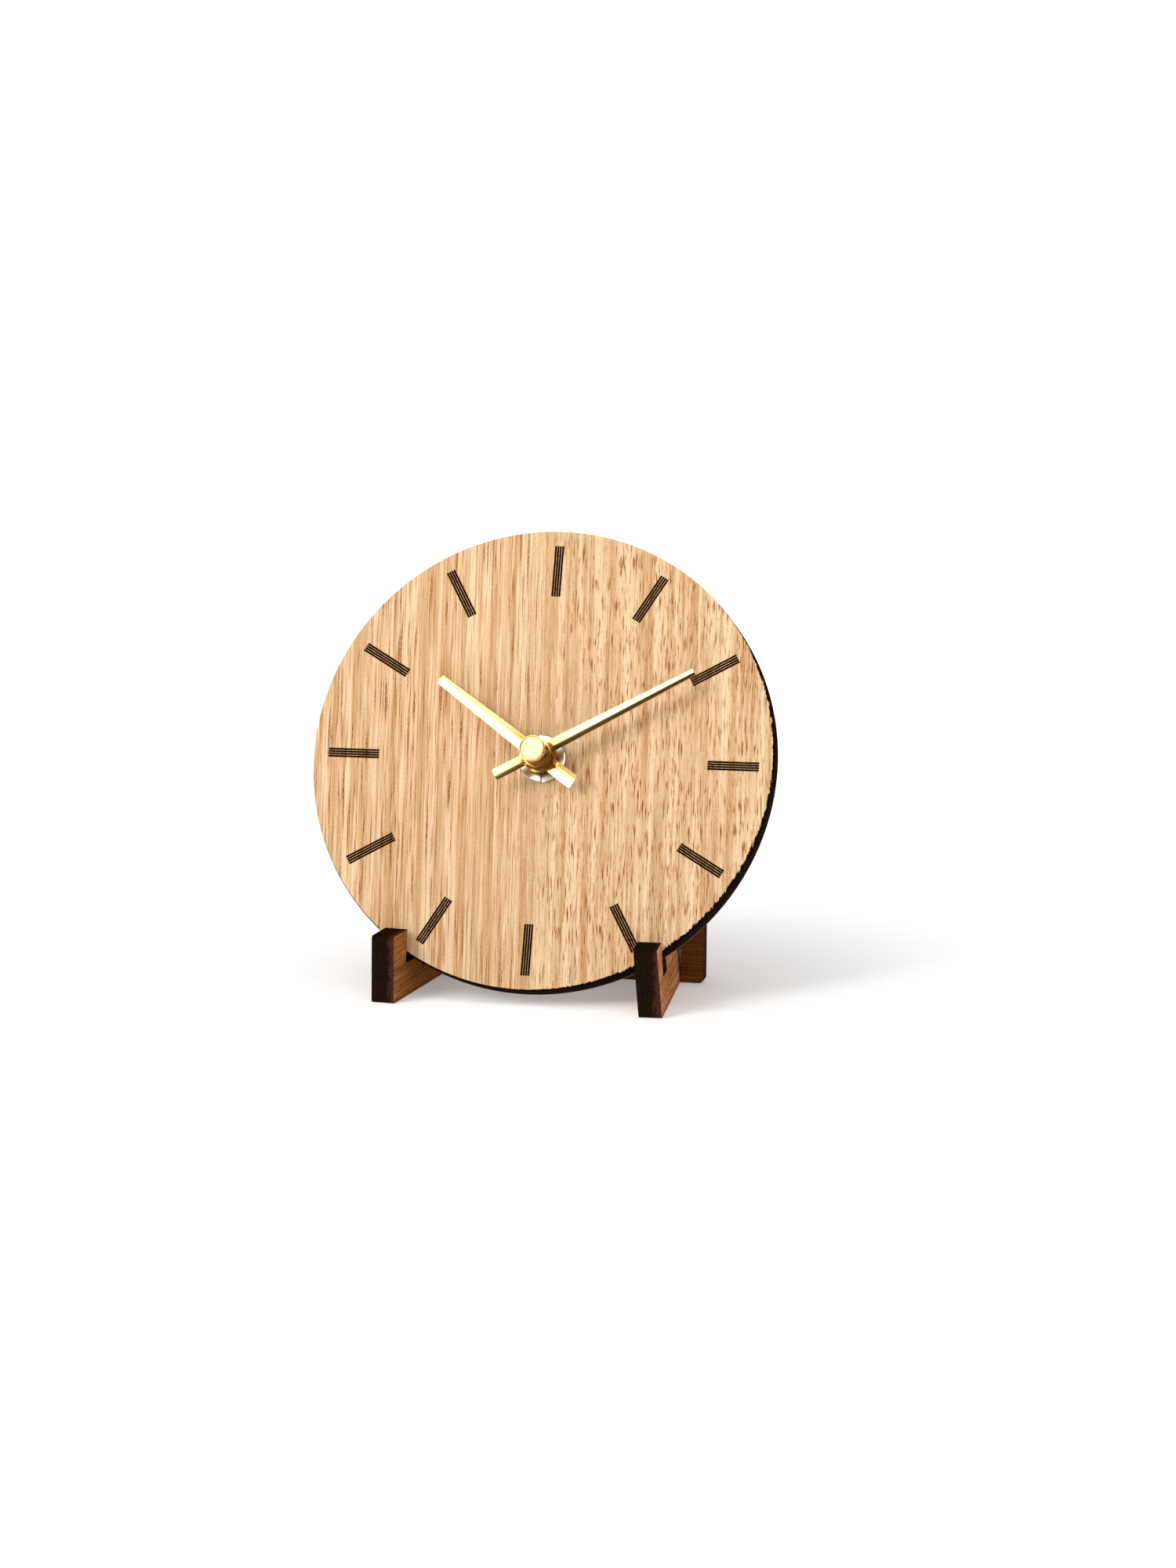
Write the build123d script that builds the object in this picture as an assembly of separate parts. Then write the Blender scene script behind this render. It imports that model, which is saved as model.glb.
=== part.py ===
from build123d import *
import os
from math import cos, radians, sin, sqrt, tan

# Round wooden desk clock on a two-footed slotted stand, with a quartz movement behind its dial.
# Millimetres, +X to the viewer's right, the dial faces -Y, +Z up, origin under the middle of the clock.

# Dial: a round board with a thin oak face on each side, leaning back in its stand
dial_diameter = 140.0
dial_lean = 23.0
dial_turn = 0.8
core_thickness = 5.2
veneer_thickness = 0.6

# Hour marks: groups of parallel lines burnt into the oak face
mark_count = 12
mark_line_count = 4
mark_length = 15.1
mark_rim_margin = 4.7
mark_line_width = 0.42
mark_line_pitch = 0.72
mark_depth = 0.25

# Feet: two plates set front to back, closer together at the rear
foot_thickness = 6.9
foot_height = 20.1
foot_splay = 5.5
foot_nose_length = 12.3
foot_web_length = 28.5
foot_tail_length = 7.0
foot_corner_radius = 0.9
right_foot_lean = 5.0
slot_depth = 10.0
slot_tilt = 9.0
dial_floor_gap = 1.9

# Cross bar: joined to the feet by halving joints
bar_thickness = 4.8
bar_overhang = 8.2
bar_corner_radius = 1.5

# Clearances
seat_clearance = 0.2
slot_clearance = 0.3
joint_clearance = 0.1
running_clearance = 0.05
thread_clearance = 0.06
housing_clearance = 0.3
cut_overrun = 2.0

# Movement fixing: a threaded bush through the dial, a slotted nut in front, a rubber washer behind
bush_radius = 4.0
bush_hole_clearance = 0.3
bush_stand_out = 0.5
bush_flange_radius = 6.2
bush_flange_thickness = 0.7
nut_radius = 7.2
nut_thickness = 1.7
nut_bevel = 0.35
nut_slot_width = 1.3
nut_slot_depth = 0.9
nut_slot_angle = 98.0
washer_radius = 11.0
washer_thickness = 1.0

# Hands: brass sheet folded to a roof section, with a flat ring round the shaft
hand_sheet = 0.35
hub_thickness = 0.5
fold_length = 2.2
tip_width_share = 0.97
minute_angle = 60.0
minute_level = 8.2
minute_length = 52.5
minute_tail = 14.2
minute_width = 3.9
minute_tip_width = 2.4
minute_tail_width = 3.5
minute_roof = 0.55
minute_hub_radius = 4.2
hour_angle = 305.0
hour_level = 4.6
hour_length = 39.0
hour_tail = 13.5
hour_width = 4.5
hour_tip_width = 3.2
hour_tail_width = 4.4
hour_roof = 0.6
hour_hub_radius = 5.0
hour_collar_radius = 3.3
hour_collar_length = 1.5

# Cap on the hands
cap_radius = 3.85
cap_height = 6.8
cap_bevel = 0.15
cap_neck_recess = 0.2
cap_neck_length = 2.4
cap_head_height = 2.1
cap_inlay_radius = 3.42
cap_inlay_gap = 0.14
cap_inlay_depth = 0.25
cap_knurl_count = 60
cap_knurl_depth = 0.18
cap_wall = 2.0

# Shafts
minute_shaft_radius = 1.5
minute_thread_radius = 1.2
minute_pivot_radius = 1.0
hour_pipe_radius = 2.5
hour_pipe_stand_out = 0.3
train_arbor_radius = 0.5
pivot_radius = 0.35
pivot_length = 0.6
motion_stud_radius = 0.8
setting_shaft_radius = 1.6

# Gears
motion_module = 0.4
cannon_teeth = 12
motion_wheel_teeth = 36
motion_pinion_teeth = 10
hour_wheel_teeth = 40
setting_teeth = 18
train_module = 0.25
centre_teeth = 80
third_teeth = 60
third_pinion_teeth = 10
second_teeth = 60
second_pinion_teeth = 8
intermediate_teeth = 50
intermediate_pinion_teeth = 10
rotor_pinion_teeth = 10
tooth_addendum_share = 0.8
tooth_dedendum_share = 1.15
tooth_tip_share = 0.2
tooth_root_share = 0.62

# Directions from one shaft to the next, in degrees from the dial's right, anticlockwise
motion_bearing = 150.0
setting_bearing = 200.0
third_bearing = 50.0
second_bearing = 10.0
intermediate_bearing = 100.0
rotor_bearing = 180.0

# Layers of the movement, front to back
end_play = 0.2
layer_gap = 0.5
hour_wheel_thickness = 1.0
motion_wheel_thickness = 1.2
train_wheel_thickness = 0.8
clutch_thickness = 0.3
clutch_radius = 3.4

# Movement shells
case_wall = 1.2
case_corner_radius = 3.0
cover_thickness = 1.4
label_inset = 5.0
label_height = 13.0
label_corner_radius = 1.5
label_depth = 0.3
knob_ring_gap = 1.2
knob_ring_width = 0.8
partition_thickness = 1.2
post_radius = 2.0
peg_radius = 0.9
peg_length = 3.0

# Setting knob
knob_radius = 6.0
knob_thickness = 2.2
knob_ridge_count = 30
knob_ridge_depth = 0.35

# Battery and its contacts
battery_diameter = 14.5
battery_length = 50.5
battery_nub_radius = 2.75
battery_nub_length = 1.0
battery_edge_radius = 0.6
contact_thickness = 0.4
contact_width = 3.0
contact_boss_radius = 2.2
contact_boss_length = 1.2
contact_gap = 0.1

# Circuit
board_thickness = 0.8
board_shaft_margin = 2.6
board_height = 7.2
board_post_radius = 1.2
chip_radius = 2.0
chip_height = 1.0
crystal_radius = 1.0
crystal_length = 6.0

# Stepping motor
magnet_radius = 3.0
magnet_thickness = 3.0
magnet_air_gap = 0.4
stator_thickness = 0.8
stator_limb = 2.6
stator_pole_width = 11.5
stator_post_radius = 1.2
coil_length = 13.0
coil_wall = 0.5
coil_build = 1.2
coil_flange = 0.6


# Derived sizes of the dial and where it sits in the stand

dial_radius = dial_diameter / 2
dial_thickness = core_thickness + 2 * veneer_thickness
lean = radians(dial_lean)
turn = radians(dial_turn)
splay = radians(foot_splay)
slot_floor = foot_height - slot_depth
rim_rise = (slot_floor + seat_clearance - dial_floor_gap) / cos(lean)
rim_drop = dial_radius - rim_rise
seat_half_span = sqrt(dial_radius ** 2 - rim_drop ** 2)

splay_skew = foot_thickness * sin(splay)
wall_climb = dial_thickness * sin(lean) + seat_clearance
wall_setback = (slot_depth - wall_climb) * tan(radians(slot_tilt))
dial_foot_edge = (foot_nose_length - wall_setback) * cos(splay) + slot_clearance
dial_heel_edge = dial_foot_edge + dial_thickness * cos(lean)
dial_heel_top = dial_heel_edge + (slot_depth - seat_clearance) * tan(lean)
slot_far_edge = (dial_heel_top + slot_clearance + splay_skew / 2) / cos(splay)
slot_width = slot_far_edge - foot_nose_length

bar_front = foot_nose_length + slot_width + foot_web_length
bar_middle = bar_front + bar_thickness / 2
foot_length = bar_front + bar_thickness + foot_tail_length
seat_depth = slot_far_edge - slot_depth * tan(radians(slot_tilt))
foot_half_span = seat_half_span + foot_thickness / 2 * cos(splay) + seat_depth * sin(splay)

dial_rear_reach = dial_heel_edge + (rim_drop + dial_radius) * sin(lean)
foot_front_y = -(dial_rear_reach - splay_skew / 2) / 2
dial_centre_y = foot_front_y + dial_foot_edge + rim_drop * sin(lean)
dial_centre_z = slot_floor + seat_clearance + rim_drop * cos(lean) + dial_thickness * sin(lean)

# The dial's own frame: x right, y up the face, z out of the face, origin in the middle of the face
head = Plane(
    origin=(0, dial_centre_y, dial_centre_z),
    x_dir=(cos(turn), sin(turn) * sin(lean), sin(turn) * cos(lean)),
    z_dir=(0, -cos(lean), sin(lean)),
)

# Depths behind the face, in the dial's frame
dial_back = -dial_thickness
case_front = dial_back - washer_thickness
case_floor = case_front - case_wall
hour_wheel_front = case_floor - end_play
hour_wheel_back = hour_wheel_front - hour_wheel_thickness
motion_front = hour_wheel_back - layer_gap
motion_back = motion_front - motion_wheel_thickness
centre_front = motion_back - layer_gap
centre_back = centre_front - train_wheel_thickness
third_front = centre_back - layer_gap
third_back = third_front - train_wheel_thickness
second_front = third_back - layer_gap
second_back = second_front - train_wheel_thickness
intermediate_front = second_back - layer_gap
intermediate_back = intermediate_front - train_wheel_thickness
magnet_front = intermediate_back - layer_gap
magnet_back = magnet_front - magnet_thickness
stator_mid = (magnet_front + magnet_back) / 2
stator_front = stator_mid + stator_thickness / 2
stator_back = stator_mid - stator_thickness / 2
coil_back = stator_back - coil_wall - coil_build
cover_inner = min(magnet_back, coil_back) - layer_gap
cover_back = cover_inner - cover_thickness


def step(start, bearing, distance):
    """A place at a distance from another, in a direction given in degrees."""
    angle = radians(bearing)
    return (start[0] + distance * cos(angle), start[1] + distance * sin(angle))


# Shaft places and gear sizes. The pinion and hour wheel share the centre distance of the first pair.
shaft = (0, 0)
motion_distance = motion_module * (cannon_teeth + motion_wheel_teeth) / 2
hour_module = 2 * motion_distance / (motion_pinion_teeth + hour_wheel_teeth)
setting_distance = motion_module * (motion_wheel_teeth + setting_teeth) / 2
third_distance = train_module * (centre_teeth + third_pinion_teeth) / 2
second_distance = train_module * (third_teeth + second_pinion_teeth) / 2
intermediate_distance = train_module * (second_teeth + intermediate_pinion_teeth) / 2
rotor_distance = train_module * (intermediate_teeth + rotor_pinion_teeth) / 2
motion_place = step(shaft, motion_bearing, motion_distance)
setting_place = step(motion_place, setting_bearing, setting_distance)
third_place = step(shaft, third_bearing, third_distance)
second_place = step(third_place, second_bearing, second_distance)
intermediate_place = step(second_place, intermediate_bearing, intermediate_distance)
rotor_place = step(intermediate_place, rotor_bearing, rotor_distance)


def tip_radius(teeth, module):
    return module * (teeth / 2 + tooth_addendum_share)


def meshing_phase(teeth, other_teeth, other_phase, bearing):
    """The turn that puts a gear's tooth gap on the tooth of the gear that it meets, in degrees."""
    return bearing + 180 + 180 / teeth + other_teeth / teeth * (bearing - other_phase)


cannon_phase = 0.0
motion_phase = meshing_phase(motion_wheel_teeth, cannon_teeth, cannon_phase, motion_bearing)
motion_pinion_phase = motion_phase
hour_phase = meshing_phase(hour_wheel_teeth, motion_pinion_teeth, motion_pinion_phase, motion_bearing + 180)
setting_phase = meshing_phase(setting_teeth, motion_wheel_teeth, motion_phase, setting_bearing)
centre_phase = 0.0
third_phase = meshing_phase(third_pinion_teeth, centre_teeth, centre_phase, third_bearing)
second_phase = meshing_phase(second_pinion_teeth, third_teeth, third_phase, second_bearing)
intermediate_phase = meshing_phase(
    intermediate_pinion_teeth, second_teeth, second_phase, intermediate_bearing
)
rotor_phase = meshing_phase(rotor_pinion_teeth, intermediate_teeth, intermediate_phase, rotor_bearing)

# Outline of the movement, grown from what it holds
centre_reach = tip_radius(centre_teeth, train_module)
partition_top = -(centre_reach + housing_clearance)
bay_top = partition_top - partition_thickness
bay_bottom = bay_top - battery_diameter - 2 * housing_clearance
battery_axis_y = (bay_top + bay_bottom) / 2
battery_axis_z = case_floor - housing_clearance - battery_diameter / 2
case_bottom = bay_bottom - case_wall
stator_top = rotor_place[1] + stator_pole_width / 2
coil_half_height = stator_limb / 2 + coil_wall + coil_build
coil_y = stator_top - stator_limb / 2
case_top_inner = coil_y + coil_half_height + coil_flange + housing_clearance
case_top = case_top_inner + case_wall
contact_reach = contact_thickness + contact_boss_length + contact_gap
bay_half_length = battery_length / 2 + contact_reach
train_reach = second_place[0] + tip_radius(second_teeth, train_module) + housing_clearance
case_half_inner = max(bay_half_length, train_reach)
case_half_width = case_half_inner + case_wall
strip_front = third_front
board_front = strip_front - contact_width
board_back = board_front - board_thickness
contact_end_gap = case_half_inner - bay_half_length
pole_left = rotor_place[0] - stator_pole_width / 2
pole_right = rotor_place[0] + stator_pole_width / 2
coil_right = pole_left - housing_clearance
coil_left = coil_right - coil_length
stator_left = coil_left - housing_clearance - stator_limb


def disc(radius, back, front, place=(0, 0)):
    """A round bar square to the dial between two depths."""
    return Pos(place[0], place[1], (back + front) / 2) * Cylinder(radius, front - back)


def ring(radius, bore, back, front, place=(0, 0)):
    """A round bar with a hole through it."""
    return disc(radius, back, front, place) - disc(bore, back - cut_overrun, front + cut_overrun, place)


def block(left, right, low, high, back, front):
    """A square-edged block between six planes."""
    size = Box(right - left, high - low, front - back)
    return Pos((left + right) / 2, (low + high) / 2, (back + front) / 2) * size


def polar(radius, angle):
    return (radius * cos(radians(angle)), radius * sin(radians(angle)))


def toothed_outline(count, root, tip, root_share, tip_share, phase):
    """Corner points of a wheel with straight-sided teeth. The shares are of the space for one tooth."""
    points = []
    for tooth in range(count):
        middle = phase + 360 * tooth / count
        corners = ((root, -root_share), (tip, -tip_share), (tip, tip_share), (root, root_share))
        for radius, turn_share in corners:
            points.append(polar(radius, middle + 180 * turn_share / count))
    return points


def toothed_disc(points, back, front, place=(0, 0)):
    outline = make_face(Polyline(*points, close=True))
    return Pos(place[0], place[1], back) * extrude(outline, front - back)


def gear(teeth, module, phase, back, front, place=(0, 0)):
    root = module * (teeth / 2 - tooth_dedendum_share)
    tip = tip_radius(teeth, module)
    points = toothed_outline(teeth, root, tip, tooth_root_share, tooth_tip_share, phase)
    return toothed_disc(points, back, front, place)


def save(name, shape, frame=None):
    """Write one piece as its own file, set in the dial's frame where it belongs to the dial."""
    placed = frame.location * shape if frame else shape
    placed.label = name
    export_step(placed, f"parts/{name}.step")


# Stand


def foot_outline():
    """Side view of a foot: rounded outer corners, the dial's slot and the halving notch."""
    slot_shift = slot_depth * tan(radians(slot_tilt))
    notch_width = bar_thickness / cos(splay) + foot_thickness * tan(splay) + 2 * joint_clearance
    notch_floor = foot_height / 2
    plate = RectangleRounded(foot_length, foot_height, foot_corner_radius)
    body = Pos(foot_length / 2, foot_height / 2) * plate
    slot = Polyline(
        (foot_nose_length - slot_shift, slot_floor),
        (foot_nose_length - slot_shift + slot_width, slot_floor),
        (foot_nose_length + slot_width, foot_height),
        (foot_nose_length + slot_width, foot_height + cut_overrun),
        (foot_nose_length, foot_height + cut_overrun),
        (foot_nose_length, foot_height),
        close=True,
    )
    notch_height = foot_height - notch_floor + cut_overrun
    notch = Pos(bar_middle, notch_floor + notch_height / 2) * Rectangle(notch_width, notch_height)
    return body - make_face(slot) - notch


def foot(side, foot_lean):
    """A foot plate on one side (-1 left, +1 right), tipped inwards by its lean about its mid height."""
    frame = Plane(
        origin=(side * foot_half_span, foot_front_y, 0),
        x_dir=(-side * sin(splay), cos(splay), 0),
        z_dir=(cos(splay), side * sin(splay), 0),
    )
    wide = foot_thickness + foot_height
    prism = extrude(foot_outline(), wide / 2, both=True)
    plate = Box(2 * foot_length + cut_overrun, 2 * foot_height + cut_overrun, foot_thickness)
    tipped = Pos(foot_length / 2, foot_height / 2) * Rot(-side * foot_lean, 0, 0) * plate
    return frame.location * (prism & tipped)


def cross_bar():
    """The brace: rounded corners and one notch from below for each foot."""
    foot_x = foot_half_span - bar_middle * sin(splay)
    plate_half = foot_thickness / 2 / cos(splay)
    half_length = foot_x + plate_half + bar_overhang
    notch_half = plate_half + bar_thickness / 2 * tan(splay) + joint_clearance
    notch_top = foot_height / 2
    frame = Plane(
        origin=(0, foot_front_y + bar_middle * cos(splay) - bar_thickness / 2, 0),
        x_dir=(1, 0, 0),
        z_dir=(0, -1, 0),
    )
    face = Pos(0, foot_height / 2) * RectangleRounded(2 * half_length, foot_height, bar_corner_radius)
    for side, foot_lean in ((-1, 0.0), (1, right_foot_lean)):
        tipped_out = notch_top * tan(radians(foot_lean))
        width = 2 * notch_half + tipped_out
        height = notch_top + cut_overrun
        notch_x = side * (foot_x + tipped_out / 2)
        face -= Pos(notch_x, notch_top - height / 2) * Rectangle(width, height)
    return frame.location * extrude(face, -bar_thickness)


# Dial


def face_veneer():
    """Oak face with the burnt lines cut into it."""
    veneer = ring(dial_radius, bush_radius + bush_hole_clearance, -veneer_thickness, 0)
    mark_outer = dial_radius - mark_rim_margin
    line = block(
        -mark_line_width / 2, mark_line_width / 2, mark_outer - mark_length, mark_outer,
        -mark_depth, cut_overrun,
    )
    first = -(mark_line_count - 1) / 2
    lines = [Pos((first + number) * mark_line_pitch, 0, 0) * line for number in range(mark_line_count)]
    marks = [Rot(0, 0, 360 * hour / mark_count) * cut for hour in range(mark_count) for cut in lines]
    return veneer - marks


def dial_layer(back, front):
    return ring(dial_radius, bush_radius + bush_hole_clearance, back, front)


# Fixing of the movement to the dial


def dial_nut():
    nut = chamfer(disc(nut_radius, 0, nut_thickness).edges().group_by(Axis.Z)[-1], nut_bevel)
    nut -= disc(bush_radius + thread_clearance, -cut_overrun, nut_thickness + cut_overrun)
    slot = block(
        -nut_radius - cut_overrun, nut_radius + cut_overrun, -nut_slot_width / 2, nut_slot_width / 2,
        nut_thickness - nut_slot_depth, nut_thickness + cut_overrun,
    )
    return nut - Rot(0, 0, nut_slot_angle) * slot


def hexagon(radius, back, front):
    return Pos(0, 0, back) * extrude(RegularPolygon(radius, 6), front - back)


def threaded_bush():
    """Brass bush with a six-sided flange let into the case, and the bore that the hour pipe runs in."""
    bush = disc(bush_radius, case_floor, nut_thickness + bush_stand_out)
    bush += hexagon(bush_flange_radius, case_floor, case_floor + bush_flange_thickness)
    bore = hour_pipe_radius + running_clearance
    return bush - disc(bore, case_floor - cut_overrun, nut_thickness + bush_stand_out + cut_overrun)


# Movement shells

post_inset = post_radius + contact_thickness + housing_clearance
post_places = [
    (-case_half_inner + post_inset, case_top_inner - post_inset),
    (case_half_inner - post_inset, case_top_inner - post_inset),
    (case_half_inner - post_inset, partition_top + post_inset),
    (-case_half_inner + post_inset, partition_top + post_inset),
]
board_left = -case_half_inner + housing_clearance
board_right = setting_place[0] + setting_shaft_radius + board_shaft_margin
board_low = setting_place[1] + setting_shaft_radius + 2 * housing_clearance + contact_thickness
board_high = board_low + board_height
board_post_places = [
    (board_left + board_post_radius + contact_thickness, board_high - board_post_radius),
    ((board_left + board_right) / 2, board_high - board_post_radius),
]
stator_post_places = [
    (stator_left + stator_limb / 2, rotor_place[1]),
    (pole_left + stator_post_radius, coil_y),
]


def rounded_block(left, right, low, high, back, front, radius):
    body = block(left, right, low, high, back, front)
    return fillet(body.edges().filter_by(Axis.Z), radius)


def movement_case():
    """Front shell: walls, battery bay with an open back, posts and the bearing holes of the wheels."""
    case = rounded_block(
        -case_half_width, case_half_width, case_bottom, case_top, cover_back, case_front, case_corner_radius
    )
    case -= block(
        -case_half_inner, case_half_inner, partition_top, case_top_inner, cover_back - cut_overrun, case_floor
    )
    case -= block(
        -case_half_inner, case_half_inner, bay_bottom, bay_top, cover_back - cut_overrun, case_floor
    )
    case -= block(
        -case_half_width - cut_overrun, case_half_width + cut_overrun, bay_top, case_top + cut_overrun,
        cover_back - cut_overrun, cover_inner,
    )
    for place in post_places:
        case += disc(post_radius, cover_inner, case_floor, place)
        peg_hole_end = cover_inner + 2 * peg_length
        case -= disc(peg_radius + joint_clearance, cover_inner - cut_overrun, peg_hole_end, place)
    for place in board_post_places:
        case += disc(board_post_radius, board_front, case_floor, place)
    for place in stator_post_places:
        case += disc(stator_post_radius, stator_front, case_floor, place)
    stud_end = motion_back - end_play
    case += disc(motion_stud_radius, stud_end, case_floor, motion_place)
    case -= disc(bush_radius + joint_clearance, case_floor - cut_overrun, case_front + cut_overrun)
    flange_seat = case_floor + bush_flange_thickness
    case -= hexagon(bush_flange_radius + joint_clearance, case_floor - cut_overrun, flange_seat)
    hole = pivot_radius + running_clearance
    hole_end = case_floor + pivot_length + running_clearance
    for place in (third_place, second_place, intermediate_place, rotor_place, setting_place):
        case -= disc(hole, case_floor - cut_overrun, hole_end, place)
    notch_back = strip_front - contact_width - joint_clearance
    notch_front = strip_front + joint_clearance
    notch_low = bay_top - cut_overrun
    notch_high = partition_top + cut_overrun
    notch = contact_thickness + joint_clearance
    case -= block(-case_half_inner, -case_half_inner + notch, notch_low, notch_high, notch_back, notch_front)
    case -= block(case_half_inner - notch, case_half_inner, notch_low, notch_high, notch_back, notch_front)
    return case


def back_cover():
    """Rear shell over the gears, pegged into the posts, with a sunk panel for a label and a ring round the knob.

    The battery bay stays open below it.
    """
    cover = block(-case_half_width, case_half_width, bay_top, case_top, cover_back, cover_inner)
    corners = cover.edges().filter_by(Axis.Z).group_by(Axis.Y)[-1]
    cover = fillet(corners, case_corner_radius)
    for place in post_places:
        cover += disc(peg_radius, cover_inner, cover_inner + peg_length, place)
    hole = pivot_radius + running_clearance
    hole_end = cover_inner - pivot_length - running_clearance
    for place in (third_place, second_place, intermediate_place, rotor_place):
        cover -= disc(hole, hole_end, cover_inner + cut_overrun, place)
    cover -= disc(minute_pivot_radius + running_clearance, hole_end, cover_inner + cut_overrun, shaft)
    knob_hole = setting_shaft_radius + running_clearance
    cover -= disc(knob_hole, cover_back - cut_overrun, cover_inner + cut_overrun, setting_place)
    label_half = case_half_width - label_inset
    label_top = case_top - label_inset
    recess_floor = cover_back + label_depth
    label = block(
        -label_half, label_half, label_top - label_height, label_top, cover_back - cut_overrun, recess_floor
    )
    cover -= fillet(label.edges().filter_by(Axis.Z), label_corner_radius)
    ring_inner = knob_radius + knob_ring_gap
    return cover - ring(
        ring_inner + knob_ring_width, ring_inner, cover_back - cut_overrun, recess_floor, setting_place
    )


# Battery and contacts


def along_x(radius, left, right, y, z):
    """A round bar parallel to the dial's x."""
    return Pos((left + right) / 2, y, z) * Rot(0, 90, 0) * Cylinder(radius, right - left)


def battery():
    left = -battery_length / 2 + battery_nub_length
    right = battery_length / 2
    can = along_x(battery_diameter / 2, left, right, battery_axis_y, battery_axis_z)
    can = fillet(can.edges(), battery_edge_radius)
    return can + along_x(battery_nub_radius, left - battery_nub_length, left, battery_axis_y, battery_axis_z)


def positive_contact():
    """Strip on the left wall from the battery's nub to the circuit board."""
    wall = -case_half_inner
    strip = block(
        wall, wall + contact_thickness, battery_axis_y - contact_boss_radius, board_low + contact_width,
        board_front, strip_front,
    )
    end = wall + contact_thickness + contact_boss_length + contact_end_gap
    strip += block(
        wall, wall + contact_thickness, battery_axis_y - contact_boss_radius,
        battery_axis_y + contact_boss_radius, battery_axis_z - contact_boss_radius,
        battery_axis_z + contact_boss_radius,
    )
    return strip + along_x(contact_boss_radius, wall, end, battery_axis_y, battery_axis_z)


def negative_contact():
    """Strip on the right wall, round the partition and up to the circuit board."""
    wall = case_half_inner
    leg_right = board_right - joint_clearance
    strip = block(
        wall - contact_thickness, wall, battery_axis_y - contact_boss_radius,
        partition_top + contact_thickness, board_front, strip_front,
    )
    strip += block(
        leg_right - contact_thickness, wall, partition_top, partition_top + contact_thickness,
        board_front, strip_front,
    )
    strip += block(
        leg_right - contact_thickness, leg_right, partition_top, board_low + contact_width,
        board_front, strip_front,
    )
    end = wall - contact_thickness - contact_boss_length - contact_end_gap
    strip += block(
        wall - contact_thickness, wall, battery_axis_y - contact_boss_radius,
        battery_axis_y + contact_boss_radius, battery_axis_z - contact_boss_radius,
        battery_axis_z + contact_boss_radius,
    )
    return strip + along_x(contact_boss_radius, end, wall, battery_axis_y, battery_axis_z)


# Circuit


def circuit_board():
    return block(board_left, board_right, board_low, board_high, board_back, board_front)


def chip():
    middle_x = (board_left + board_right) / 2
    middle_y = board_low + chip_radius + housing_clearance
    body = disc(chip_radius, board_back - chip_height, board_back, (middle_x, middle_y))
    return chamfer(body.edges().group_by(Axis.Z)[0], chip_height / 2)


def crystal():
    middle_x = (board_left + board_right) / 2
    y = board_high - crystal_radius - housing_clearance
    z = board_back - crystal_radius
    return along_x(crystal_radius, middle_x - crystal_length / 2, middle_x + crystal_length / 2, y, z)


# Stepping motor


def stator():
    """Closed iron loop: a wide pole round the rotor, and a limb through the coil."""
    low = rotor_place[1] - stator_pole_width / 2
    loop = block(stator_left, pole_right, low, stator_top, stator_back, stator_front)
    loop -= block(
        stator_left + stator_limb, pole_left, low + stator_limb, stator_top - stator_limb,
        stator_back - cut_overrun, stator_front + cut_overrun,
    )
    hole = magnet_radius + magnet_air_gap
    return loop - disc(hole, stator_back - cut_overrun, stator_front + cut_overrun, rotor_place)


def coil_sleeve(grown, left, right):
    """A block round the coil's limb, larger than the limb by the same amount on every side."""
    half_height = stator_limb / 2 + grown
    half_depth = stator_thickness / 2 + grown
    return block(
        left, right, coil_y - half_height, coil_y + half_height,
        stator_mid - half_depth, stator_mid + half_depth,
    )


def coil_bobbin():
    flange_grown = coil_wall + coil_build
    bobbin = coil_sleeve(coil_wall, coil_left, coil_right)
    bobbin += coil_sleeve(flange_grown, coil_left, coil_left + coil_flange)
    bobbin += coil_sleeve(flange_grown, coil_right - coil_flange, coil_right)
    return bobbin - coil_sleeve(running_clearance, coil_left - cut_overrun, coil_right + cut_overrun)


def coil_winding():
    left = coil_left + coil_flange
    right = coil_right - coil_flange
    wire = coil_sleeve(coil_wall + coil_build - running_clearance, left, right)
    wire = fillet(wire.edges().filter_by(Axis.X), coil_build / 2)
    return wire - coil_sleeve(coil_wall, left - cut_overrun, right + cut_overrun)


# Hands


def roof_section(distance, width, roof, level):
    """Cross-section of a folded hand at a distance along it: a thin chevron with its ridge in the middle."""
    half = width / 2
    points = [
        (-half, level),
        (0, level + roof),
        (half, level),
        (half, level + hand_sheet),
        (0, level + roof + hand_sheet),
        (-half, level + hand_sheet),
    ]
    plane = Plane(origin=(0, distance, 0), x_dir=(1, 0, 0), z_dir=(0, -1, 0))
    return plane * make_face(Polyline(*points, close=True))


def roof_arm(start, end, start_width, end_width, roof, level):
    """A folded arm that rises from the flat hub ring and then runs straight to its end."""
    ramp_end = start + fold_length
    flat_share = 1 / 20
    sections = [
        roof_section(start, start_width, roof * flat_share, level),
        roof_section(ramp_end, start_width * tip_width_share, roof, level),
        roof_section(end, end_width, roof, level),
    ]
    return loft(sections, ruled=True)


def hand(length, tail, width, tip_width, tail_width, roof, level, hub_radius, hub_level, bore):
    arm_start = sqrt(hub_radius ** 2 - (width / 2) ** 2) - hand_sheet
    tail_start = sqrt(hub_radius ** 2 - (tail_width / 2) ** 2) - hand_sheet
    shape = disc(hub_radius, hub_level, hub_level + hub_thickness)
    shape += roof_arm(arm_start, length, width, tip_width, roof, level)
    shape += Rot(0, 0, 180) * roof_arm(tail_start, tail, tail_width, tail_width, roof, level)
    return shape - disc(bore, level - cut_overrun, level + hub_thickness + cut_overrun)


def minute_hand():
    bore = minute_thread_radius + thread_clearance
    shape = hand(
        minute_length, minute_tail, minute_width, minute_tip_width, minute_tail_width, minute_roof,
        minute_level, minute_hub_radius, minute_level, bore,
    )
    return Rot(0, 0, -minute_angle) * shape


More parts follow.
